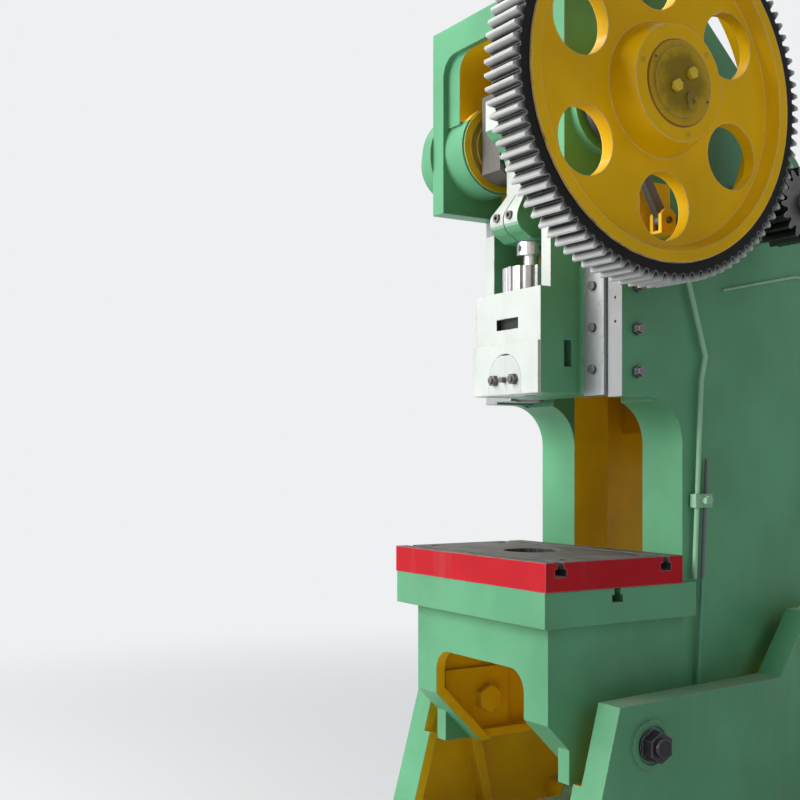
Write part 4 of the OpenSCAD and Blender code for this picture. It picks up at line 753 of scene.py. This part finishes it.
def gear_paint(tree):
    """Yellow inside the rim's edge, black grease up to the roots, then steel that gets brighter to the tips."""
    radius = distance_from_axis(tree, RAM_Y, CRANK_Z)
    edge = calc(tree, "ADD", radius, waver(tree, 34.0, 4.0, 0.6, 0.006))
    tooth = blend_colours(tree, ease(tree, edge, ROOT_R + 0.004, TIP_R - 0.003), GREASED_ROOT, RUBBED_TIP)
    steel = blend_colours(tree, ease(tree, edge, ROOT_R - 0.001, ROOT_R + 0.004), GREASE, tooth)
    return blend_colours(tree, ease(tree, edge, RIM_R + 0.0005, RIM_R + 0.0020), GEAR_YELLOW, steel)


GEAR_DIRT = (0.20, 0.13, 0.03, 1)
# The gear's edges are lightened more strongly than other enamels, as a painted highlight over the rubbed paint.
GEAR_ENAMEL = enamel(
    "gear_enamel", gear_paint, wear=0.35, dust=0.12, roughness=0.24, dirt=GEAR_DIRT, specular=0.10, rub_and_highlight=0.55
)
HUB_YELLOW, HUB_STAIN, HUB_DIRT = (0.66, 0.42, 0.004, 1), (0.17, 0.115, 0.004, 1), (0.12, 0.09, 0.03, 1)


def hub_paint(tree):
    """Yellow, stained olive by grease that creeps out from the middle of the cover."""
    radius = distance_from_axis(tree, RAM_Y, CRANK_Z)
    edge = calc(tree, "ADD", radius, waver(tree, 22.0, 5.0, 0.65, 0.09))
    return blend_colours(tree, ease(tree, edge, 0.100, 0.045, 0.25, 0.85), HUB_YELLOW, HUB_STAIN)


HUB_ENAMEL = enamel("hub_enamel", hub_paint, wear=0.3, dust=0.30, roughness=0.22, dirt=HUB_DIRT, specular=0.12)
HUB_BOLT_ENAMEL = enamel("hub_bolt_enamel", (0.72, 0.50, 0.02, 1), wear=0.6, dust=0.2, roughness=0.24)
dress(GEAR_ENAMEL, "bull_gear")
dress(HUB_ENAMEL, "hub_cover")
dress(HUB_BOLT_ENAMEL, "hub_bolts")
hub_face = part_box("hub_cover")[0][0] + 0.006
SOCKET_PLUG = [
    (-0.001, 0.0),
    (-0.001, 0.0062),
    (0.0012, 0.0062),
    (0.0012, 0.0040),
    (-0.0004, 0.0034),
    (-0.0004, 0.0),
]
PLUG_CIRCLE_R = 0.126
plugs = []
for degrees in (163, 43, -77):
    back, up = PLUG_CIRCLE_R * cos(radians(degrees)), PLUG_CIRCLE_R * sin(radians(degrees))
    plugs.append(turned("plug", (hub_face, RAM_Y + back, CRANK_Z + up), (1, 0, 0), SOCKET_PLUG, sides=18))
add_piece("hub_plugs", plugs, HUB_ENAMEL, "gear")

# Intermediate shaft, flywheel, belts and motor
# The pinion is cut on the shaft's end and runs in grease. The flywheel on the other end is painted green with
# turned belt grooves, and four belts bring the drive up from the motor.

BLACK_GREASE = (0.02, 0.018, 0.015, 1)
PINION_STEEL = bare_steel(
    "pinion_steel", (0.10, 0.10, 0.10, 1), ALONG_X, stained=0.6, roughness=0.26, stain=BLACK_GREASE
)
dress(PINION_STEEL, "pinion_shaft")
dress(NUT_STEEL, "shaft_nuts")
WHEEL_Y, WHEEL_Z, WHEEL_RIM_R = middle("flywheel", 1), middle("flywheel", 2), 0.3075


def wheel_paint(tree):
    """Green web, and a bare turned rim."""
    on_rim = calc(tree, "GREATER_THAN", distance_from_axis(tree, WHEEL_Y, WHEEL_Z), WHEEL_RIM_R)
    return blend_colours(tree, on_rim, GREEN, (0.30, 0.30, 0.30, 1))


WHEEL_ENAMEL = enamel("wheel_enamel", wheel_paint, wear=0.6, dust=0.4)
PULLEY_IRON = bare_steel("pulley_iron", (0.22, 0.22, 0.22, 1), ALL_ROUND, stained=0.5, roughness=0.4)
BELT_RUBBER = enamel("belt_rubber_mix", (0.018, 0.018, 0.018, 1), wear=0.0, dust=0.25, roughness=0.55)
MOTOR_ENAMEL = enamel("motor_enamel", (0.10, 0.16, 0.20, 1), wear=0.6, dust=0.5, roughness=0.32)
dress(WHEEL_ENAMEL, "flywheel")
dress(PULLEY_IRON, "motor_pulley")
dress(BELT_RUBBER, "v_belts")
dress(MOTOR_ENAMEL, "motor")
MOTOR_X, MOTOR_Y, MOTOR_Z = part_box("motor")[1][0], RAM_Y + 0.972, 1.480


def slat(radius, back=-0.001, front=0.003, half=0.003):
    """One ring of the fan cover: a rectangular section from back to front, half its width each side of the radius."""
    inner, outer = radius - half, radius + half
    section = [(back, inner), (front, inner), (front, outer), (back, outer), (back, inner)]
    return turned("slat", (MOTOR_X, MOTOR_Y, MOTOR_Z), (1, 0, 0), section, sides=48)


slats = [slat(radius) for radius in (0.020, 0.038, 0.056, 0.074, 0.092)]
add_piece("fan_cover_rings", slats, MOTOR_ENAMEL, "frame")

# Clutch control
# A forged latch catches the cam ring. The pull rods that reach down to the treadle were painted by hand, and
# a clamp with a hexagon bolt joins them.

dress(FORGED_STEEL, "clutch_latch")
dress(ROD_ENAMEL, "upper_pull_rod", "rod_clamp")


def rod_two_tone(tree):
    """Bare steel on the upper end, and brushed green from the table down."""
    ragged = calc(tree, "MULTIPLY", speckle(tree, place(tree), 60.0), 0.02)
    painted = calc(tree, "LESS_THAN", calc(tree, "ADD", coordinate(tree, "Z"), ragged), 0.925)
    return blend_colours(tree, painted, (0.16, 0.18, 0.18, 1), (0.115, 0.36, 0.225, 1))


LOWER_ROD = enamel("lower_rod_mix", rod_two_tone, wear=0.5, dust=0.3)
dress(LOWER_ROD, "lower_pull_rod")

# Oil line
# A thin copper pipe, painted over, lies on the frame's side and climbs a little from behind the gear to the
# back edge.

PIPE_X, PIPE_R = SIDE_OUT + 0.0045, 0.004
corners = np.array([(PIPE_X, 0.440, 1.724), (PIPE_X, 0.740, 1.785), (PIPE_X, 0.800, 1.785)])
corners[:, 1] += RAM_Y
runs = np.linalg.norm(np.diff(corners, axis=0), axis=1)
marks = np.concatenate([[0], np.cumsum(runs)]) / runs.sum()
oil_path = np.stack([np.interp(np.linspace(0, 1, 40), marks, corners[:, axis]) for axis in range(3)], -1)
add_piece("oil_line", [swept("pipe", oil_path, PIPE_R, sides=12)], ROD_ENAMEL, "frame")

# Floor, light and camera
# A plain pale floor and background, a broad lamp in front, one above, and weak ones at the side and behind.

BACKGROUND = (0.86, 0.87, 0.88, 1)


def looked_at(tree):
    """1 for what the camera sees, straight or in a gloss, and 0 for what lights the object."""
    path = tree.nodes.new("ShaderNodeLightPath")
    return calc(tree, "MAXIMUM", path.outputs["Is Camera Ray"], path.outputs["Is Glossy Ray"])


def mix_shaders(tree, share, first, second):
    """The first shader where share is 0 and the second where it is 1."""
    node = tree.nodes.new("ShaderNodeMixShader")
    for socket, item in zip(node.inputs, (share, first, second)):
        tree.links.new(item, socket)
    return node.outputs[0]


def colour_shader(tree, kind, colour, strength):
    """A background or an emission of one colour."""
    node = tree.nodes.new(kind)
    node.inputs["Color"].default_value = colour
    node.inputs["Strength"].default_value = strength
    return node.outputs[0]


bpy.ops.mesh.primitive_plane_add(size=60)
floor = bpy.context.object
floor.name = "floor"
floor_material, tree = blank_material("floor_material")
paving = tree.nodes.new("ShaderNodeBsdfPrincipled")
paving.inputs["Base Color"].default_value = (0.60, 0.60, 0.61, 1)
paving.inputs["Roughness"].default_value = 0.8
distance = tree.nodes.new("ShaderNodeVectorMath")
distance.operation = "LENGTH"
tree.links.new(place(tree), distance.inputs[0])
far_off = calc(tree, "MULTIPLY", ease(tree, distance.outputs["Value"], 1.6, 5.5), looked_at(tree))
glow = colour_shader(tree, "ShaderNodeEmission", BACKGROUND, 1.0)
surface = mix_shaders(tree, far_off, paving.outputs[0], glow)
tree.links.new(surface, tree.nodes.new("ShaderNodeOutputMaterial").inputs[0])
floor.data.materials.append(floor_material)

world = bpy.data.worlds.new("studio")
bpy.context.scene.world = world
world.use_nodes = True
tree = world.node_tree
tree.nodes.clear()
sky = colour_shader(tree, "ShaderNodeBackground", (0.93, 0.96, 1.0, 1), 0.21)
backdrop = colour_shader(tree, "ShaderNodeBackground", BACKGROUND, 1.0)
surface = mix_shaders(tree, looked_at(tree), sky, backdrop)
tree.links.new(surface, tree.nodes.new("ShaderNodeOutputWorld").inputs[0])


def lamp(name, at, aim, size, power, colour=(1, 1, 1)):
    """A square area lamp at a point, turned to the point it aims at."""
    light = bpy.data.lights.new(name, "AREA")
    light.size, light.energy, light.color = size, power, colour
    holder = bpy.data.objects.new(name, light)
    holder.location = at
    direction = np.array(aim, float) - np.array(at, float)
    holder.rotation_euler = Vector(direction).to_track_quat("-Z", "Y").to_euler()
    bpy.context.scene.collection.objects.link(holder)


lamp("front_window", (-1.8, -6.4, 3.6), (0, 0, 1.3), 4.5, 520, (1.0, 0.99, 0.97))
lamp("roof_light", (-2.5, -2.2, 6.6), (0, 0, 1.0), 3.0, 230, (0.97, 0.99, 1.0))
lamp("side_fill", (6.0, 0.5, 3.6), (0, 0, 1.3), 4.0, 50, (0.96, 0.98, 1.0))
lamp("back_fill", (-2.5, 5.5, 4.0), (0, 0, 1.3), 3.0, 120)

CAMERA_AT = (2.6374, -2.0829 + RAM_Y, 1.2439)
FOCAL_PIXELS, FRAME_PIXELS, SENSOR_MM = 1168.3, 800, 36.0
camera_data = bpy.data.cameras.new("camera")
camera_data.sensor_width = SENSOR_MM
camera_data.lens = FOCAL_PIXELS / FRAME_PIXELS * SENSOR_MM
camera_data.shift_x = -0.0007
camera_data.shift_y = 0.0745
camera = bpy.data.objects.new("camera", camera_data)
camera.location = CAMERA_AT
camera.rotation_euler = (radians(90), 0, radians(58.114))
bpy.context.scene.collection.objects.link(camera)
bpy.context.scene.camera = camera
bpy.context.scene.view_settings.view_transform = "Standard"
